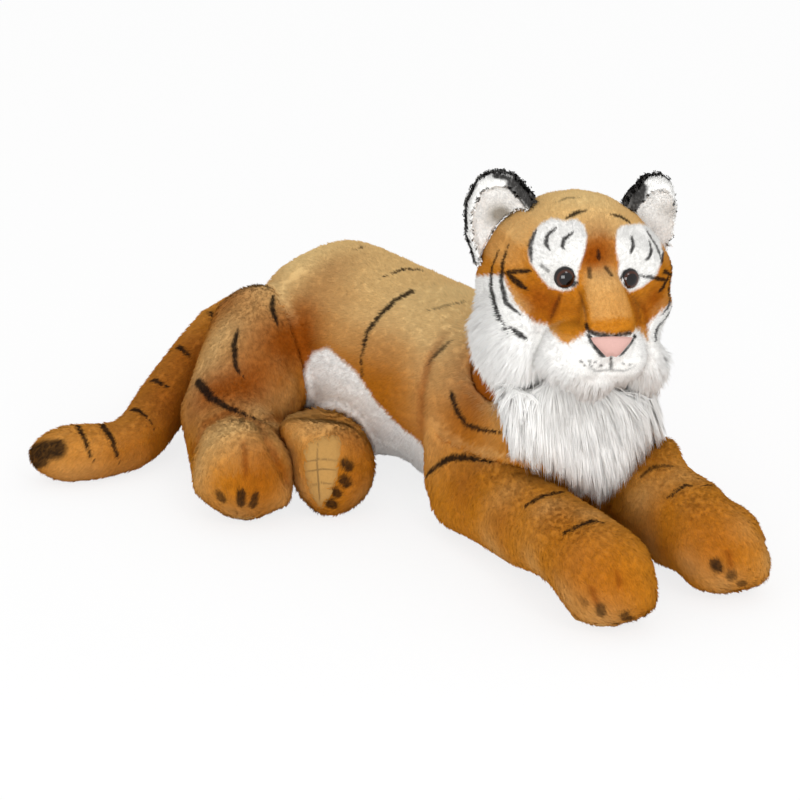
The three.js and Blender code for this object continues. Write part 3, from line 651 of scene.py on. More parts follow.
# Covers
@dataclass
class Cover:
    """A stuffed form: the nodes it stands for, its shape, and how its pile lies"""

    name: str
    body: str
    nodes: list
    slot: str
    comb_from: tuple
    drop: float = 0.3
    comb_noise: float = 0.14
    gather: float = 0.04
    grain: float = 0.35
    voxel: float = 3
    smooth: int = 10
    swell: float = 0.0
    grow: float = 0.0
    shaped_by: list = field(default_factory=list)
    creases: list = field(default_factory=list)
    pulls: list = field(default_factory=list)
    outline: list = field(default_factory=list)
    squeeze: float = 6
    # How much painted shade greys the short white pile of the face
    dusk: float = 0.0
    hair: str = "coat"
    lean: float = 75
    tuft: float = 2.8
    hairs: int = 6
    width: float = 0.6
    parts: int = 1
    sag: float = 0.0
    edge: list = field(default_factory=list)
    clear_of: list = field(default_factory=list)
    under: list = field(default_factory=list)
    margin: float = 0.4
    strokes: list = field(default_factory=list)
    mirror: str = ""
    mirror_radius: float = 50
    white: str = ""
    fill: float = 0.7
    # How much painted shade darkens the downward faces towards rust
    rust: float = 0.0
    # How much painted top light lightens the upward faces towards straw
    straw: float = 0.7
    dark: float = 0.0


def copied(name, nodes, swell=0.0):
    """A merged copy of some nodes, swollen a little"""
    copies = []
    for node in nodes:
        places, _, triangles = mesh_arrays(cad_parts[node].data)
        copies.append(mesh_object(f"{name}_{node}", places, triangles))
    select_only(*copies)
    if len(copies) > 1:
        bpy.ops.object.join()
    form = bpy.context.view_layer.objects.active
    edit_whole(form, bpy.ops.mesh.remove_doubles, threshold=1e-5)
    if swell:
        places, normals, _ = mesh_arrays(form.data)
        move_points(form, places + normals * swell * MM)
    return form


def move_points(form, places):
    form.data.vertices.foreach_set("co", np.asarray(places, np.float32).ravel())
    form.data.update()


def remeshed(form, voxel, rounds):
    """The outer shell of a form, remeshed and smoothed"""
    apply_modifier(form, "REMESH", mode="VOXEL", voxel_size=voxel * MM)
    edit_whole(form, bpy.ops.mesh.separate, type="LOOSE")
    *spares, form = sorted(bpy.context.selected_objects, key=lambda each: each.dimensions.length)
    for spare in spares:
        bpy.data.objects.remove(spare)
    apply_modifier(form, "SMOOTH", factor=0.5, iterations=rounds)
    return form


LIMBS = ["right_foreleg", "left_foreleg", "right_hindleg", "left_hindleg", "tail"]


def node_tree(*names):
    return tree_of(*(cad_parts[name].data for name in names))


@cache
def melted_trees(limb):
    """Search trees over the trunk and a limb melted into one form, and over the limb alone"""
    form = copied("melt", ["torso_cover", "belly_panel", f"{limb}_cover"], MELT_SWELL)
    form = remeshed(form, MELT_VOXEL, MELT_ROUNDS)
    trees = tree_of(form.data), node_tree(f"{limb}_cover")
    bpy.data.objects.remove(form)
    return trees


def flared(places, normals, limbs, sunk):
    """Places near a limb's root moved out to where trunk and limb flow into each other"""
    trunk = node_tree("torso_cover", "belly_panel")
    for limb in limbs:
        both, alone = melted_trees(limb)
        for index, place in enumerate(places.tolist()):
            far = max(trunk.find_nearest(place)[3], alone.find_nearest(place)[3]) / MM
            if far > ROOT_REACH:
                continue
            near, normal, _, gap = both.find_nearest(place)
            if (Vector(place) - near).dot(normal) < 0 and gap < FLARE_GAP * MM:
                share = eased((FLARE_GAP - gap / MM) / FLARE_FADE) * eased((ROOT_REACH - far) / ROOT_FADE)
                share *= eased((normals[index] @ np.array(normal) - 0.1) / 0.4)
                places[index] += (np.array(near - normal * sunk * MM) - place) * share
    return places


def within(places, outline, reach):
    """Places near an outline in the photograph, squeezed sideways until none lies outside it"""
    right, up, _ = (np.array(axis) for axis in camera_axes())
    pixels = seen_at(places)
    gap = inside(pixels, outline)
    step = np.stack([
        inside(pixels + (1, 0), outline) - inside(pixels - (1, 0), outline),
        inside(pixels + (0, 1), outline) - inside(pixels - (0, 1), outline),
    ], axis=1) / 2
    held = np.clip(gap, -reach, reach)
    move = step * ((held + reach) ** 2 / (4 * reach) - held)[:, None] * MM_PER_PIXEL * MM
    return places + move[:, :1] * right - move[:, 1:] * up


def pulled(places, pulls):
    """Places drawn across the picture by dents and bulges"""
    right, up, back = (np.array(axis) for axis in camera_axes())
    pixels = seen_at(places)
    for left, top, across, down, out, reach in pulls:
        gap = np.linalg.norm(pixels - (left, top), axis=1) / reach
        share = np.exp(-gap * gap)[:, None] * MM * MM_PER_PIXEL
        places = places + share * (across * right - down * up + out * back)
    return places


def stuffed(cover):
    """One smooth closed form round a cover's nodes"""
    form = copied(cover.name, [*cover.nodes, *cover.shaped_by], cover.swell)
    form = remeshed(form, cover.voxel, cover.smooth)
    form.name = form.data.name = f"{cover.name}_form"
    places, normals, _ = mesh_arrays(form.data)
    places += normals * (cover.grow - cover.swell * 0.6) * MM
    limbs = LIMBS if cover.name == "trunk" else [cover.name] if cover.name in LIMBS else []
    places = flared(places, normals, limbs, 0.0 if cover.name == "trunk" else LIMB_SUNK)
    places = pulled(places, cover.pulls)
    if cover.outline:
        places = within(places, cover.outline, cover.squeeze)
    move_points(form, places)
    if limbs or cover.outline:
        apply_modifier(form, "SMOOTH", factor=0.5, iterations=4)
    places, normals, _ = mesh_arrays(form.data)
    tree = tree_of(form.data)
    for crease in cover.creases:
        places -= normals * crease_depth(places, cast(crease.pixels, 3, tree), crease)[:, None]
    places[:, 2] = np.maximum(places[:, 2], FORM_FLOOR * MM)
    move_points(form, places)
    shade_smooth(form)
    return form


def crease_depth(points, line, crease):
    """How far a sewn crease draws each point in"""
    gap = np.full(len(points), 1.0)
    share = np.zeros(len(points))
    for k, place in enumerate(line):
        far = np.linalg.norm(points - place, axis=1)
        share = np.where(far < gap, k / max(len(line) - 1, 1), share)
        gap = np.minimum(gap, far)
    fade = np.ones(len(points)) if crease.taper == "none" else 1 - np.abs(2 * share - 1) ** 4
    return crease.strength * MM * fade * np.exp(-((gap / (crease.width * MM * 0.5)) ** 2))


# Pile
def scatter(mesh, spacing, chance):
    """Evenly spread places on a mesh, with the normals there"""
    places, normals, triangles = mesh_arrays(mesh)
    first, second, third = (places[triangles[:, k]] for k in range(3))
    area = np.linalg.norm(np.cross(second - first, third - first), axis=1) / 2
    reach = np.cumsum(area)
    count = int(reach[-1] / spacing**2)
    picked = np.searchsorted(reach, (np.arange(count) + chance.random(count)) / count * reach[-1])
    picked = np.minimum(picked, len(triangles) - 1)
    u, v = chance.random((2, count, 1))
    folded = u + v > 1
    u, v = np.where(folded, 1 - u, u), np.where(folded, 1 - v, v)
    spots = first[picked] + u * (second - first)[picked] + v * (third - first)[picked]
    corner = normals[triangles[picked]]
    return spots, unit(corner[:, 0] * (1 - u - v) + corner[:, 1] * u + corner[:, 2] * v)


def beyond(spots, tree, height, margin):
    """Which places lie above the height over a surface and further than the margin from it"""
    free = np.ones(len(spots), bool)
    for index, spot in enumerate(spots.tolist()):
        near, normal, _, gap = tree.find_nearest(spot, NEAR * MM)
        if near is not None:
            free[index] = (Vector(spot) - near).dot(normal) > height * MM and gap > margin * MM
    return free


made_forms = {}


def white_share(points, normals, cover):
    """Where a cover's pile is white, and how long its fluff is"""
    bare = np.zeros(len(points))
    if cover.white == "all":
        return bare + 1, bare
    if cover.white == "belly":
        white, gold = node_tree("belly_panel"), node_tree("torso_cover")
        gaps = [(gold.find_nearest(each)[3] - white.find_nearest(each)[3]) / MM for each in points.tolist()]
        return faded(np.array(gaps) * 0.6, 1), bare
    if cover.white == "ear":
        return 1 - faded(inside(seen_at(points), EAR_WEDGE), 3), bare
    if cover.white == "face":
        pixels, facing = face_pixels(points, normals)
        ragged = 1.1 * np.sin(pixels[:, 0] * 1.3 + 2 * np.sin(pixels[:, 1] * 0.7))
        edge = inside(pixels, WHITE_FACE) + ragged
        patch = np.maximum(inside(pixels, RIGHT_PATCH), inside(pixels, LEFT_PATCH))
        front = eased((facing + 0.1) / 0.2)
        low = eased((facing + 0.65) / 0.3)
        white = np.maximum(faded(patch, 2.4) * front, faded(edge, 4) * low)
        long = eased((edge - FLUFF_START) / FLUFF_RUN) * eased(-inside(pixels, MOUTH) / 12)
        return white, long * low
    return bare, bare


def pile_length(points, normals, cover, fluff):
    """The length of the pile at each place"""
    sizes = bpy.context.scene.tiger_pile
    reach = np.full(len(points), getattr(sizes, cover.hair))
    if cover.white == "face":
        pixels, _ = face_pixels(points, normals)
        short = faded(np.maximum(inside(pixels, BRIDGE), inside(pixels, MOUTH)), 4)
        reach += (sizes.velvet - reach) * short
        reach += (sizes.fluff - reach) * fluff
    return reach


def combed(spots, normals, cover, fluff, chance):
    """The way the pile is brushed at each place"""
    drop = cover.drop + 1.3 * fluff
    flow = unit(spots - np.asarray(cover.comb_from)) + np.array((0, 0, -1)) * drop[:, None]
    flow += chance.normal(0, cover.comb_noise, spots.shape)
    flow -= normals * np.sum(flow * normals, axis=1, keepdims=True)
    return unit(flow)


def tufts(cover, form, chance):
    """Roots, directions and normals of a cover's hairs, in tufts whose tips draw together"""
    tuft = cover.tuft * MM
    spots, normals = scatter(form.data, tuft, chance)
    free = bare_pads(spots, cover) & ((spots[:, 2] > ROOT_FLOOR * MM) | (normals[:, 2] > -0.5))
    if cover.clear_of:
        free &= beyond(spots, node_tree(*cover.clear_of), 0, cover.margin)
    for name in cover.under:
        free &= beyond(spots, made_forms[name], 0.5, -1)
    spots, normals = spots[free], normals[free]
    _, fluff = white_share(spots, normals, cover)
    flow = combed(spots, normals, cover, fluff, chance)
    across = np.cross(normals, flow)
    count = len(spots)
    shape = (count, cover.hairs, 1)
    radius = np.sqrt(chance.random(shape)) * tuft * 0.8
    turn = chance.random(shape) * 2 * math.pi
    offset = flow[:, None] * (radius * np.cos(turn)) + across[:, None] * (radius * np.sin(turn))
    reach = pile_length(spots, normals, cover, fluff)[:, None, None]
    reach = reach * (0.85 + 0.2 * chance.random((count, 1, 1))) * (0.8 + 0.3 * chance.random(shape))
    lean = np.radians(cover.lean + chance.normal(0, 5, (count, 1, 1)))
    way = normals[:, None] * np.cos(lean) + flow[:, None] * np.sin(lean)
    aim = way * reach - offset * (cover.gather + 0.2 * chance.random(shape))
    upright = np.broadcast_to(normals[:, None], aim.shape)
    if cover.edge:
        tips = (spots[:, None] + offset + aim - np.array((0, 0, cover.sag)) * reach).reshape(-1, 3)
        loose = inside(seen_at(tips), cover.edge) < chance.normal(0, 2, len(tips))
        aim = aim * np.where(loose, 0.45, 1).reshape(shape)
    return [values.reshape(-1, 3) for values in (spots[:, None] + offset, aim, upright)]


def bare_pads(spots, cover):
    """Leaves out the places beneath the nose, the eyes and the visible sole"""
    pixels = seen_at(spots)
    if cover.name == "left_hindleg":
        return inside(pixels, LEFT_SOLE_PAD) < 1.5
    if cover.name == "face":
        free = inside(pixels, NOSE_PAD) < 1
        for middle, radius in EYES.values():
            free &= np.linalg.norm(pixels - middle, axis=1) > radius * 1.15
        return free
    return np.ones(len(spots), bool)


def laid_normals(spots, upright, form):
    """Shading normals of the surface that the hairs lie over, so that pile bent across a ridge stays soft"""
    tree = tree_of(form.data)
    return unit(np.array([tree.find_nearest(spot)[1] for spot in spots.tolist()]) + upright * 0.35)


def strands(roots, aim, normals, shading, cover):
    """Closed three-sided hairs that bend down along their run, as points, triangles and soft normals"""
    side = unit(np.cross(aim, normals))
    over = unit(np.cross(side, aim))
    droop = np.array((0, 0, -cover.sag)) * np.linalg.norm(aim, axis=1, keepdims=True)
    rings, soft = [], []
    for k in range(cover.parts):
        share = k / cover.parts
        place = roots + aim * share + droop * share**2 - normals * (0 if k else ROOT_SUNK * MM)
        for turn in HAIR_CORNERS:
            out = math.cos(turn) * over + math.sin(turn) * side
            rings.append(place + out * cover.width * MM * (1 - HAIR_TAPER * share))
            soft.append(unit(shading + out * cover.grain))
    rings.append(roots + aim + droop)
    soft.append(shading)
    points = np.stack(rings, axis=1).reshape(-1, 3)
    points[:, 2] = np.maximum(points[:, 2], HAIR_FLOOR * MM)
    faces = [(0, 2, 1)]
    for k in range(cover.parts - 1):
        for j in range(3):
            a, b = 3 * k + j, 3 * k + (j + 1) % 3
            faces += [(a, b, b + 3), (a, b + 3, a + 3)]
    last = 3 * (cover.parts - 1)
    faces += [(last, last + 1, last + 3), (last + 1, last + 2, last + 3), (last + 2, last, last + 3)]
    start = np.arange(len(roots))[:, None, None] * len(rings)
    return points, (start + np.array(faces)).reshape(-1, 3), np.stack(soft, axis=1).reshape(-1, 3)


def lay_bake_map(target, places, normals, parts):
    """A flat map on which each hair has its own small place, so that its colour can be kept"""
    low, high = places.min(0), places.max(0)
    share = (places - low) / np.maximum(high - low, 1e-6)
    axis = np.argmax(np.abs(normals), axis=1)
    facing = np.take_along_axis(normals, axis[:, None], 1)[:, 0] > 0
    first = np.where(axis == 0, share[:, 1], share[:, 0])
    second = np.where(axis == 2, share[:, 1], share[:, 2])
    margin, columns, rows, spread = 0.03, 3, 2, 0.0006
    across = (axis + margin + first * (1 - 2 * margin)) / columns
    up = (facing + margin + second * (1 - 2 * margin)) / rows
    wide = [(spread * (1 - 0.8 * k / parts), turn) for k in range(parts) for turn in HAIR_CORNERS]
    corners = [(size * math.cos(turn), size * math.sin(turn)) for size, turn in wide]
    flat = (np.stack([across, up], axis=1)[:, None] + np.array([*corners, (0, 0)])).reshape(-1, 2)
    loops = read(target.data.loops, "vertex_index", 1, np.int32)[:, 0]
    layer = target.data.uv_layers.new(name="OFBake")
    layer.data.foreach_set("uv", flat[loops].astype(np.float32).ravel())


def shade_mask(points, shades):
    """The strength of airbrushed clouds, which paint airbrush, light and shade, at each point"""
    total = np.zeros(len(points))
    for across, down, radius, strength in shades:
        place = cast([(across, down), (across + 1, down)])
        if len(place):
            gap = np.linalg.norm(points - place[0], axis=1) / (radius * MM)
            total += strength * np.exp(-gap * gap)
    return total


def painted(points, normals, cover, form):
    """How black the stripes make each point"""
    dark = np.full(len(points), cover.dark)
    if cover.dark:
        hidden = eased(-0.5 - normals @ np.array(camera_axes()[2]) * 5)
        dark *= np.maximum(hidden, faded(inside(seen_at(points), EAR_BLACKS[cover.body]), 2))
    tree = tree_of(form.data)
    form_points = mesh_arrays(form.data)[0]
    for stroke in cover.strokes:
        line = cast(stroke.pixels, tree=tree)
        if len(line) < 2:
            continue
        lines = [line]
        if cover.mirror == "limb" and stroke.both_sides:
            other = across_the_limb(line, form_points, cover.mirror_radius * MM)
            lines.append(snapped(other, tree, 60 * MM, 0.1))
        if cover.mirror == "head" and stroke.pixels[0][0] < LEFT_HALF:
            lines.append(snapped(across_the_head(line), tree, 20 * MM))
        for each in lines:
            dark = np.maximum(dark, stroke_mask(points, each, stroke))
    return dark


def paint_masks(points, normals, white, fluff, cover, form):
    """All that the colours of a cover depend on, at each point"""
    # Painted top light: straw where the surface faces up
    up = eased((normals[:, 2] - 0.12) / 0.88)
    # Painted shade: rust where the surface faces down
    under = cover.rust * np.clip(0.55 - normals[:, 2] * 0.7, 0, 1)
    # Painted shade in the creases, which goes into rust and a little into the black marks
    crease = np.zeros(len(points))
    tree = tree_of(form.data)
    for each in (each for each in cover.creases if each.strength > 0):
        depth = crease_depth(points, cast(each.pixels, 3, tree), each)
        crease = np.maximum(crease, depth / MM / each.strength * 0.4)
    return {
        "mark": np.maximum(painted(points, normals, cover, form), crease * 0.25 * (1 - white)),
        "rust": np.clip(shade_mask(points, RUST_AND_SHADE_CLOUDS) + under + crease, 0, 1),
        "straw": np.clip(cover.straw * up + shade_mask(points, STRAW_AND_LIGHT_CLOUDS), 0, 1),
        "pale": white,
        # Painted shade: grey clouds, and grey over the face's short white pile
        "grey": np.clip(shade_mask(points, SHADE_GREY_CLOUDS) + cover.dusk * (1 - fluff), 0, 1),
    }


def give_masks(target, masks, places, deep, repeat):
    for name, values in masks.items():
        set_value(target, name, np.repeat(values, repeat))
    # The form beneath the pile gets 1 here and the hairs 0, so that the fur darkens the form with painted
    # shade
    set_value(target, "deep", np.full(len(target.data.vertices), deep))
    set_value(target, "place", np.repeat(places, repeat, axis=0), "FLOAT_VECTOR")


def give_material(target, material):
    target.data.materials.clear()
    target.data.materials.append(material)


def finish_piece(target, body, material):
    give_material(target, material)
    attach(target, body)


FACE_REGIONS = {
    "head": "gold_pile", "nose_bridge": "gold_pile", "muzzle": "white_pile", "right_cheek": "white_pile",
    "left_cheek": "white_pile", "right_eye_patch": "white_pile", "left_eye_patch": "white_pile",
}


def pile_groups(cover, places):
    """Names, slots and members of the pieces of pile: the face has one for each part that it is sewn from"""
    if cover.name != "face":
        return [(cover.name, cover.slot, np.arange(len(places)))]
    trees = [node_tree("head_cover" if name == "head" else name) for name in FACE_REGIONS]
    spots = places[:: cover.hairs].tolist()
    gaps = np.array([[tree.find_nearest(spot)[3] for tree in trees] for spot in spots])
    nearest = np.repeat(np.argmin(gaps, axis=1), cover.hairs)
    return [(name, slot, np.flatnonzero(nearest == k)) for k, (name, slot) in enumerate(FACE_REGIONS.items())]


def dress(cover):
    """Makes a cover's stuffed form and the pile that grows on it"""
    chance = np.random.default_rng(SEED + sum(map(ord, cover.name)))
    form = stuffed(cover)
    made_forms[cover.name] = tree_of(form.data)
    places, normals, _ = mesh_arrays(form.data)
    white, fluff = white_share(places, normals, cover)
    give_masks(form, paint_masks(places, normals, white, fluff, cover, form), places, 1.0, 1)
    finish_piece(form, cover.body, fur(cover.slot))
    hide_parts(*cover.nodes)
    roots, aim, upright = tufts(cover, form, chance)
    middle = roots + (aim - upright * np.sum(aim * upright, axis=1, keepdims=True)) * HAIR_LIE
    white, fluff = white_share(middle, upright, cover)
    masks = paint_masks(middle, upright, white, fluff, cover, form)
    shading = laid_normals(middle, upright, form)
    triangles, corners = 6 * cover.parts - 2, 3 * cover.parts + 1
    for name, slot, members in pile_groups(cover, roots):
        order = members[np.argsort(roots[members, 1], kind="stable")]
        pieces = math.ceil(len(order) * triangles / PIECE_TRIANGLES)
        for number, chosen in enumerate(np.array_split(order, pieces) if pieces else [], 1):
            points, faces, soft = strands(*(each[chosen] for each in (roots, aim, upright, shading)), cover)
            pile = mesh_object(f"{name}_pile_{number}" if pieces > 1 else f"{name}_pile", points, faces)
            lay_bake_map(pile, middle[chosen], upright[chosen], cover.parts)
            give_masks(pile, {key: mask[chosen] for key, mask in masks.items()}, middle[chosen], 0.0, corners)
            finish_piece(pile, cover.body, fur(slot))
            shade_smooth(pile)
            pile.data.normals_split_custom_set_from_vertices(soft.tolist())
    return form


# Materials
class Value:
    """A shader socket that takes part in Python sums"""

    def __init__(self, shader, socket):
        self.shader = shader
        self.socket = socket

    def sum_with(self, operation, first, second):
        return self.shader.node("ShaderNodeMath", {"operation": operation}, {0: first, 1: second})

    def __add__(self, other):
        return self.sum_with("ADD", self, other)

    def __sub__(self, other):
        return self.sum_with("SUBTRACT", self, other)

    def __rsub__(self, other):
        return self.sum_with("SUBTRACT", other, self)

    def __mul__(self, other):
        return self.sum_with("MULTIPLY", self, other)

    __radd__ = __add__

    def held(self):
        """The value kept between 0 and 1"""
        return self.shader.node("ShaderNodeClamp", {}, {"Value": self})


class Shader:
    """The nodes of a material or of the world"""

    def __init__(self, owner):
        owner.use_nodes = True
        self.owner = owner
        self.tree = owner.node_tree
        self.tree.nodes.clear()

    def node(self, kind, settings, inputs, output=0):
        made = self.tree.nodes.new(kind)
        for key, value in settings.items():
            setattr(made, key, value)
        for key, value in inputs.items():
            if isinstance(value, Value):
                self.tree.links.new(value.socket, made.inputs[key])
            else:
                made.inputs[key].default_value = value
        return Value(self, made.outputs[output])

    def attribute(self, name, output="Fac"):
        return self.node("ShaderNodeAttribute", {"attribute_name": name}, {}, output)

    def noise(self, place, scale, detail=2.0):
        return self.node("ShaderNodeTexNoise", {}, {"Vector": place, "Scale": scale, "Detail": detail}, "Fac")

    def mix(self, under, over, share, blend="MIX"):
        settings = {"data_type": "RGBA", "blend_type": blend}
        return self.node("ShaderNodeMix", settings, {0: share, 6: under, 7: over}, 2)

    def finish(self, surface, kind="ShaderNodeOutputMaterial"):
        output = self.tree.nodes.new(kind)
        self.tree.links.new(surface.socket, output.inputs["Surface"])
        return self.owner


def rgba(levels):
    return (*levels, 1)


def surface(shader, **inputs):
    """The finished material of a shader whose surface has these inputs"""
    named = {key.replace("_", " "): value for key, value in inputs.items()}
    return shader.finish(shader.node("ShaderNodeBsdfPrincipled", {}, named))


@cache
def fur(slot):
    """Pile of a slot: airbrushed coat with painted top light and painted shade, white where it is pale, black
    where it is marked, and painted shade on the form beneath the hairs
    """
    tint = bpy.context.scene.tiger_colours
    shader = Shader(bpy.data.materials.new(slot.replace("pile", "fur")))
    place = shader.attribute("place", "Vector")
    keys = ("mark", "rust", "straw", "pale", "grey", "deep")
    mark, rust, straw, pale, grey, deep = (shader.attribute(key) for key in keys)
    tuft = shader.noise(place, TUFT_SCALE) - 0.5
    cloud = shader.noise(place, CLOUD_SCALE) - 0.5
    grain = shader.noise(place, GRAIN_SCALE, 1.0)
    # Straw brings the airbrush and painted top light, rust brings the airbrush and painted shade
    coat = shader.mix(rgba(tint.gold), rgba(tint.straw), (straw + tuft * 0.16 + cloud * 0.14).held())
    coat = shader.mix(coat, rgba(tint.rust), (rust + tuft * 0.2 + cloud * 0.16).held())
    # Grey is painted shade in the white pile
    fluff = shader.mix(rgba(tint.white), rgba(tint.grey), (grey + tuft * 0.12).held())
    base = shader.mix(coat, fluff, pale)
    base = shader.mix(base, rgba(tint.black), (mark * (1.0 + tuft * 0.6)).held() * 0.95)
    # Grain varies the tone; the form beneath the pile is darkened as painted shade
    shade = (0.74 + grain * 0.5) * (1 - deep * 0.12)
    even = shader.node("ShaderNodeCombineColor", {}, {key: shade for key in range(3)})
    base = shader.mix(base, even, 1.0, "MULTIPLY")
    return surface(shader, Base_Color=base, Roughness=0.95, Specular_IOR_Level=0.04)


def plain_material(name, levels, roughness, speck, scale, bump=0.0):
    """A small part's finish with a fine grain"""
    shader = Shader(bpy.data.materials.new(name))
    place = shader.node("ShaderNodeTexCoord", {}, {}, "Object")
    grain = shader.noise(place, scale, 4.0)
    base = shader.mix(rgba([level * (1 - speck) for level in levels]), rgba(levels), grain)
    base = shader.mix(base, rgba([level * 0.3 for level in levels]), shader.attribute("mark"))
    inputs = {"Base_Color": base, "Roughness": roughness}
    if bump:
        heights = {"Height": grain, "Strength": bump, "Distance": MM}
        inputs["Normal"] = shader.node("ShaderNodeBump", {}, heights)
    return surface(shader, **inputs)


@cache
def eye_gloss():
    """Glossy plastic with a brown ring round the pupil"""
    tint = bpy.context.scene.tiger_colours
    shader = Shader(bpy.data.materials.new("eye_gloss"))
    ring = shader.attribute("ring")
    inner = ((ring - 0.56) * 12).held()
    outer = (1 - (ring - 0.78) * 14).held()
    base = shader.mix((0.003, 0.002, 0.002, 1), rgba(tint.iris), inner * outer)
    return surface(shader, Base_Color=base, Roughness=0.05, Specular_IOR_Level=0.4)


# The covers of this tiger
NECK_BASE = (0.092, -0.110, 0.165)
NOSE_TIP = (0.062, -0.195, 0.175)


def limb(name, comb_from, drop, clear_of, **settings):
    """The cover of a leg or of the tail"""
    nodes = [f"{name}_cover", f"{name}_filling"]
    soles = [] if name == "tail" else [f"{name}_sole"]
    settings |= {"under": ["trunk"], "shaped_by": soles, "clear_of": clear_of}
    return Cover(name, name, nodes, "gold_pile", comb_from, drop, **settings)


TRUNK = Cover(
    "trunk", "trunk", ["torso_cover", "belly_panel", "torso_filling"], "gold_pile", NECK_BASE, drop=0.35,
    clear_of=[*(f"{name}_cover" for name in LIMBS[:-1]), "neck", "bib", "tail_cover"],
    strokes=TRUNK_STROKES, mirror="limb", mirror_radius=110, white="belly", smooth=44, grow=1.4,
    creases=TRUNK_CREASES, rust=0.35, straw=0.8, pulls=TRUNK_PULLS,
)
NECK = Cover(
    "neck_roll", "neck", ["neck"], "gold_pile", NOSE_TIP, clear_of=["torso_cover", "head_cover", "bib"],
    strokes=TRUNK_STROKES, rust=0.3, tuft=3.6,
)
TAIL = limb(
    "tail", (0.10, 0.22, 0.12), 0.2, ["torso_cover", "right_hindleg_cover"], strokes=TAIL_STROKES,
    mirror="limb", mirror_radius=30, rust=0.3, straw=0.1, pulls=TAIL_PULLS,
)
LEGS = [
    limb(
        "right_foreleg", (0.060, -0.010, 0.115), 0.1, ["torso_cover", "bib"], strokes=RIGHT_FORELEG_STROKES,
        creases=FORELEG_CREASES, rust=0.1, straw=0.05, pulls=RIGHT_FORELEG_PULLS,
    ),
    limb(
        "left_foreleg", (0.150, -0.020, 0.115), 0.1, ["torso_cover", "bib"], strokes=LEFT_FORELEG_STROKES,
        creases=LEFT_FORELEG_CREASES, outline=LEFT_FORELEG_OUTLINE, rust=0.1, straw=0.05,
        pulls=LEFT_FORELEG_PULLS,
    ),
    limb(
        "right_hindleg", (0.040, 0.230, 0.110), 0.15, ["torso_cover", "tail_cover"], creases=HIND_CREASES,
        strokes=[*THIGH_STROKES, *HIND_PAW_STROKES], rust=0.15, straw=0.4, pulls=HIND_PAW_PULLS,
    ),
    limb(
        "left_hindleg", (0.050, 0.120, 0.050), 0.1, ["torso_cover", "right_hindleg_cover"],
        strokes=LEFT_PAW_STROKES, rust=0.3, straw=0.2, smooth=8, pulls=LEFT_HINDLEG_PULLS,
    ),
]
EAR_NODES = [f"{side}_ear_{face}" for side in ("right", "left") for face in ("back", "front")]
FACE = Cover(
    "face", "head", ["head_cover", "head_filling", *(name for name in FACE_REGIONS if name != "head")],
    "gold_pile", NOSE_TIP, drop=0.1, voxel=2, smooth=18, swell=2.0, shaped_by=["nose"], creases=FACE_CREASES,
    strokes=FACE_STROKES, mirror="head", white="face", clear_of=["neck", *EAR_NODES], hair="face", lean=68,
    tuft=2.0, dusk=0.13, hairs=5, width=0.5, rust=0.35, straw=0.7, pulls=FACE_PULLS,
)
EARS = [
    Cover(
        f"{side}_ear_{face}", f"{side}_ear", [f"{side}_ear_{face}"], f"{tone}_pile", root, drop=-0.5,
        voxel=1.3, smooth=8, clear_of=["head_cover"], margin=-3, hair=hair, lean=lean, tuft=2.3, width=0.55,
        white=white, dark=dark, strokes=marks, fill=0.3, grow=grow,
    )
    for side, root, marks in (
        ("right", (0.047, -0.085, 0.215), RIGHT_EAR_STROKES),
        ("left", (0.143, -0.118, 0.206), LEFT_EAR_STROKES),
    )
    for face, tone, hair, white, dark, grow, lean in (
        ("back", "black", "rim", "all", 1.0, -2.2, 80), ("front", "white", "ear", "ear", 0.0, -1.6, 66),
    )
]
BIB = Cover(
    "bib", "trunk", ["bib"], "white_pile", (0.090, -0.112, 0.260), drop=1.5, voxel=2.5, smooth=8,
    clear_of=["torso_cover"], hair="lock", lean=76, tuft=3.4, hairs=11, width=0.36, parts=2, sag=0.35,
    white="all", fill=0.4, pulls=BIB_PULLS, outline=BIB_OUTLINE, comb_noise=0.22, gather=0.25, squeeze=18,
    grain=0.15, edge=BIB_EDGE,
)


# Small parts
def pad(name, outline, form, rise, material, body, node, lines=()):
    """A cushioned patch that lies on a form where an outline of the photograph falls"""
    samples, rings, skirt, sunk = 96, 18, 2.5, 0.2
    tree = tree_of(form.data)
    corners = np.array([*outline, outline[0]], float)
    run = run_along(corners)
    at = np.linspace(0, run[-1], samples, endpoint=False)
    edge = np.stack([np.interp(at, run, corners[:, k]) for k in range(2)], axis=1)
    middle = edge.mean(0)
    spots = []
    for scale in [1, *(1 - np.arange(rings) / rings)]:
        for pixel in middle + (edge - middle) * scale:
            place, normal, _, _ = tree.ray_cast(*pixel_ray(pixel))
            spots.append(spots[-1] if place is None else (place, normal))
    out = unit(np.array([normal for _, normal in spots]).mean(0))
    places = np.array([place for place, _ in spots] + [tree.ray_cast(*pixel_ray(middle))[0]])
    heights = [rise * (1 - (1 - k / rings) ** 7) - sunk for k in range(rings)]
    heights = np.repeat([-skirt, *heights, rise - sunk], [samples] * (rings + 1) + [1])
    places += out * (heights * MM)[:, None]
    top = len(places)
    places = np.vstack([places, places[:samples].mean(0)])
    faces = []
    for j in range(samples):
        nxt = (j + 1) % samples
        for ring in range(0, rings * samples, samples):
            a, b = ring + j, ring + nxt
            faces += [(a, b, b + samples), (a, b + samples, a + samples)]
        faces += [(rings * samples + j, rings * samples + nxt, top - 1), (nxt, j, top)]
    made = mesh_object(name, places, faces)
    edit_whole(made, bpy.ops.mesh.normals_make_consistent, inside=False)
    shade_smooth(made)
    dark = np.zeros(len(places))
    for line in lines:
        dark = np.maximum(dark, stroke_mask(places, cast(line.pixels, 2, tree_of(made.data)), line))
    set_value(made, "mark", dark)
    finish_piece(made, body, material)
    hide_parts(node)


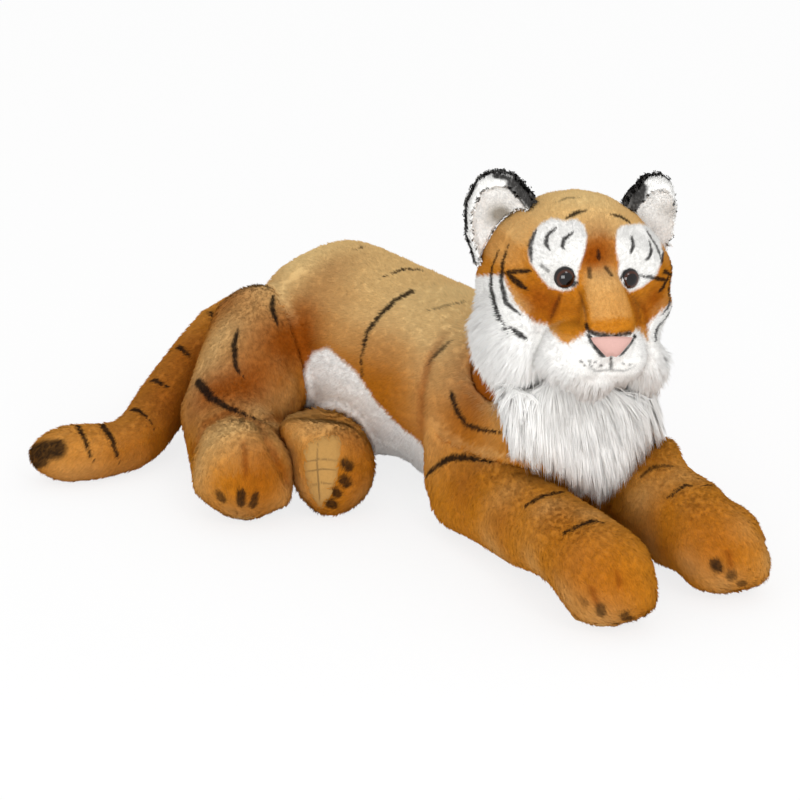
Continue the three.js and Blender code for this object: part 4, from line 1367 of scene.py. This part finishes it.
def eyes(form):
    """Domes with a gloss, set into the patches"""
    tree = tree_of(form.data)
    forward = Vector(moved_by(head_matrix(), np.array((0.0, -1.0, 0.05)), False)).normalized()
    for side, (pixel, radius) in EYES.items():
        place, normal, _, _ = tree.ray_cast(*pixel_ray(pixel))
        axis = (forward + normal * 0.6).normalized()
        bpy.ops.mesh.primitive_uv_sphere_add(segments=40, ring_count=24, radius=radius * MM)
        dome = bpy.context.active_object
        dome.name = dome.data.name = f"{side}_eye_dome"
        dome.scale = (1, 1, 0.62)
        dome.location = place - axis * 0.4 * MM
        dome.rotation_euler = axis.to_track_quat("Z", "Y").to_euler()
        bpy.ops.object.transform_apply(location=True, rotation=True, scale=True)
        places, _, _ = mesh_arrays(dome.data)
        offset = places - places.mean(0)
        along = offset @ np.array(axis)
        ring = np.linalg.norm(offset - along[:, None] * np.array(axis), axis=1) / (radius * MM)
        set_value(dome, "ring", np.where(along > 0, ring, 1.0))
        shade_smooth(dome)
        finish_piece(dome, "head", eye_gloss())
        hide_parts(f"{side}_eye")


def inside_parts():
    """Finishes of the washers and soles, which keep their nodes' own meshes"""
    plastic = plain_material("washer_nylon", bpy.context.scene.tiger_colours.nylon, 0.5, 0.05, 200.0)
    for name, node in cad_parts.items():
        if "washer" in name or name.endswith("_sole"):
            give_material(node, plastic if "washer" in name else suede())


@cache
def suede():
    return plain_material("sole_suede", bpy.context.scene.tiger_colours.tan, 0.85, 0.25, 500.0, bump=0.4)


# Studio
def floor_and_world():
    stage = bpy.context.scene.tiger_stage
    bpy.ops.mesh.primitive_plane_add(size=stage.floor_size, location=(0, 0, 0))
    floor = bpy.context.active_object
    floor.name = "studio_floor"
    shader = Shader(bpy.data.materials.new("floor_paper"))
    rays = seen_directly(shader)
    paper = shader.node("ShaderNodeBsdfDiffuse", {}, {"Color": (0.92, 0.92, 0.92, 1)})
    glow = shader.node("ShaderNodeEmission", {}, {"Color": (1, 1, 1, 1), "Strength": 1.0})
    sheet = shader.node("ShaderNodeMixShader", {}, {0: rays * 0.8, 1: paper, 2: glow})
    floor.data.materials.append(shader.finish(sheet))
    world = bpy.data.worlds.new("studio_air")
    bpy.context.scene.world = world
    sky = Shader(world)
    soft = sky.node("ShaderNodeBackground", {}, {"Color": (1, 1, 1, 1), "Strength": stage.sky})
    white = sky.node("ShaderNodeBackground", {}, {"Color": (1, 1, 1, 1), "Strength": 1.0})
    air = sky.node("ShaderNodeMixShader", {}, {0: seen_directly(sky), 1: soft, 2: white})
    sky.finish(air, "ShaderNodeOutputWorld")


def seen_directly(shader):
    """1 where the camera, a reflection or glass looks, so that the backdrop shows white there"""
    kinds = ("Camera", "Glossy", "Transmission")
    looks = [shader.node("ShaderNodeLightPath", {}, {}, f"Is {kind} Ray") for kind in kinds]
    return (looks[0] + looks[1] + looks[2]).held()


def lamp(name, place, power, size):
    bpy.ops.object.light_add(type="AREA", location=place)
    made = bpy.context.active_object
    made.name = name
    made.data.energy = power
    made.data.size = size
    middle = (cad_box[0] + cad_box[1]) / 2
    made.rotation_euler = (Vector(place) - middle).to_track_quat("Z", "Y").to_euler()


def camera():
    stage = bpy.context.scene.tiger_stage
    *_, back = camera_axes()
    bpy.ops.object.camera_add(location=CAMERA_TARGET + back * stage.distance)
    made = bpy.context.active_object
    made.name = "photo_camera"
    made.rotation_euler = back.to_track_quat("Z", "Y").to_euler()
    made.data.sensor_width = SENSOR
    made.data.lens = stage.lens
    made.data.clip_start = 0.05
    made.data.clip_end = 60
    bpy.context.scene.camera = made


class TigerOperator:
    """What all the tiger's operators share"""

    bl_options = {"REGISTER", "UNDO"}

    def execute(self, context):
        self.build()
        return {"FINISHED"}


class TIGER_OT_trunk(TigerOperator, bpy.types.Operator):
    """Stuffed trunk with its striped coat and white belly, and the neck roll"""

    bl_idname = "tiger.trunk"
    bl_label = "Trunk and neck"

    def build(self):
        dress(TRUNK)
        dress(NECK)


class TIGER_OT_legs(TigerOperator, bpy.types.Operator):
    """Forelegs and hind legs with their stripes, claws and soles"""

    bl_idname = "tiger.legs"
    bl_label = "Legs"

    def build(self):
        form = [dress(cover) for cover in LEGS][-1]
        leg = "left_hindleg"
        pad(f"{leg}_sole_pad", LEFT_SOLE_PAD, form, 1.6, suede(), leg, f"{leg}_sole", SOLE_LINES)


class TIGER_OT_tail(TigerOperator, bpy.types.Operator):
    """Tail with its rings"""

    bl_idname = "tiger.tail"
    bl_label = "Tail"

    def build(self):
        dress(TAIL)


class TIGER_OT_head(TigerOperator, bpy.types.Operator):
    """Head with bridge, muzzle, cheeks and patches, the nose and the safety eyes"""

    bl_idname = "tiger.head"
    bl_label = "Head and face"

    def build(self):
        form = dress(FACE)
        tint = bpy.context.scene.tiger_colours
        velour = plain_material("nose_velour", tint.pink, 0.85, 0.12, 900.0, bump=0.3)
        pad("nose_pad", NOSE_PAD, form, 1.8, velour, "head", "nose")
        eyes(form)
        inside_parts()


class TIGER_OT_ears(TigerOperator, bpy.types.Operator):
    """Black backs and white linings of the ears"""

    bl_idname = "tiger.ears"
    bl_label = "Ears"

    def build(self):
        for cover in EARS:
            dress(cover)


class TIGER_OT_bib(TigerOperator, bpy.types.Operator):
    """Bib of long white locks"""

    bl_idname = "tiger.bib"
    bl_label = "Bib"

    def build(self):
        dress(BIB)


class TIGER_OT_stage(TigerOperator, bpy.types.Operator):
    """Floor, lamps, white air and the camera of the photograph"""

    bl_idname = "tiger.stage"
    bl_label = "Studio"

    def build(self):
        stage = bpy.context.scene.tiger_stage
        floor_and_world()
        lamp("key_lamp", (-0.2, -1.5, 1.3), stage.key, 0.45)
        lamp("fill_lamp", (-1.1, -1.6, 0.25), stage.fill, 0.8)
        camera()


OPERATORS = [
    TIGER_OT_trunk, TIGER_OT_legs, TIGER_OT_tail, TIGER_OT_head, TIGER_OT_ears, TIGER_OT_bib, TIGER_OT_stage,
]


class TIGER_PT_panel(bpy.types.Panel):
    """Lists the tiger's operators and settings in the sidebar"""

    bl_idname = "TIGER_PT_panel"
    bl_label = "Plush Tiger"
    bl_space_type = "VIEW_3D"
    bl_region_type = "UI"
    bl_category = "Tiger"

    def draw(self, context):
        for operator in OPERATORS:
            self.layout.operator(operator.bl_idname)
        for group in (context.scene.tiger_colours, context.scene.tiger_pile, context.scene.tiger_stage):
            box = self.layout.box()
            for name in group.__annotations__:
                box.prop(group, name)


GROUPS = {"tiger_colours": TigerColours, "tiger_pile": TigerPile, "tiger_stage": TigerStage}


def register():
    for each in [*GROUPS.values(), *OPERATORS, TIGER_PT_panel]:
        bpy.utils.register_class(each)
    for name, group in GROUPS.items():
        setattr(bpy.types.Scene, name, PointerProperty(type=group))


def unregister():
    for name in GROUPS:
        delattr(bpy.types.Scene, name)
    for each in [TIGER_PT_panel, *reversed(OPERATORS), *GROUPS.values()]:
        bpy.utils.unregister_class(each)


def main():
    register()
    bpy.context.scene.view_settings.view_transform = "Standard"
    for operator in OPERATORS:
        group, name = operator.bl_idname.split(".")
        getattr(getattr(bpy.ops, group), name)()


if __name__ == "__main__":
    main()
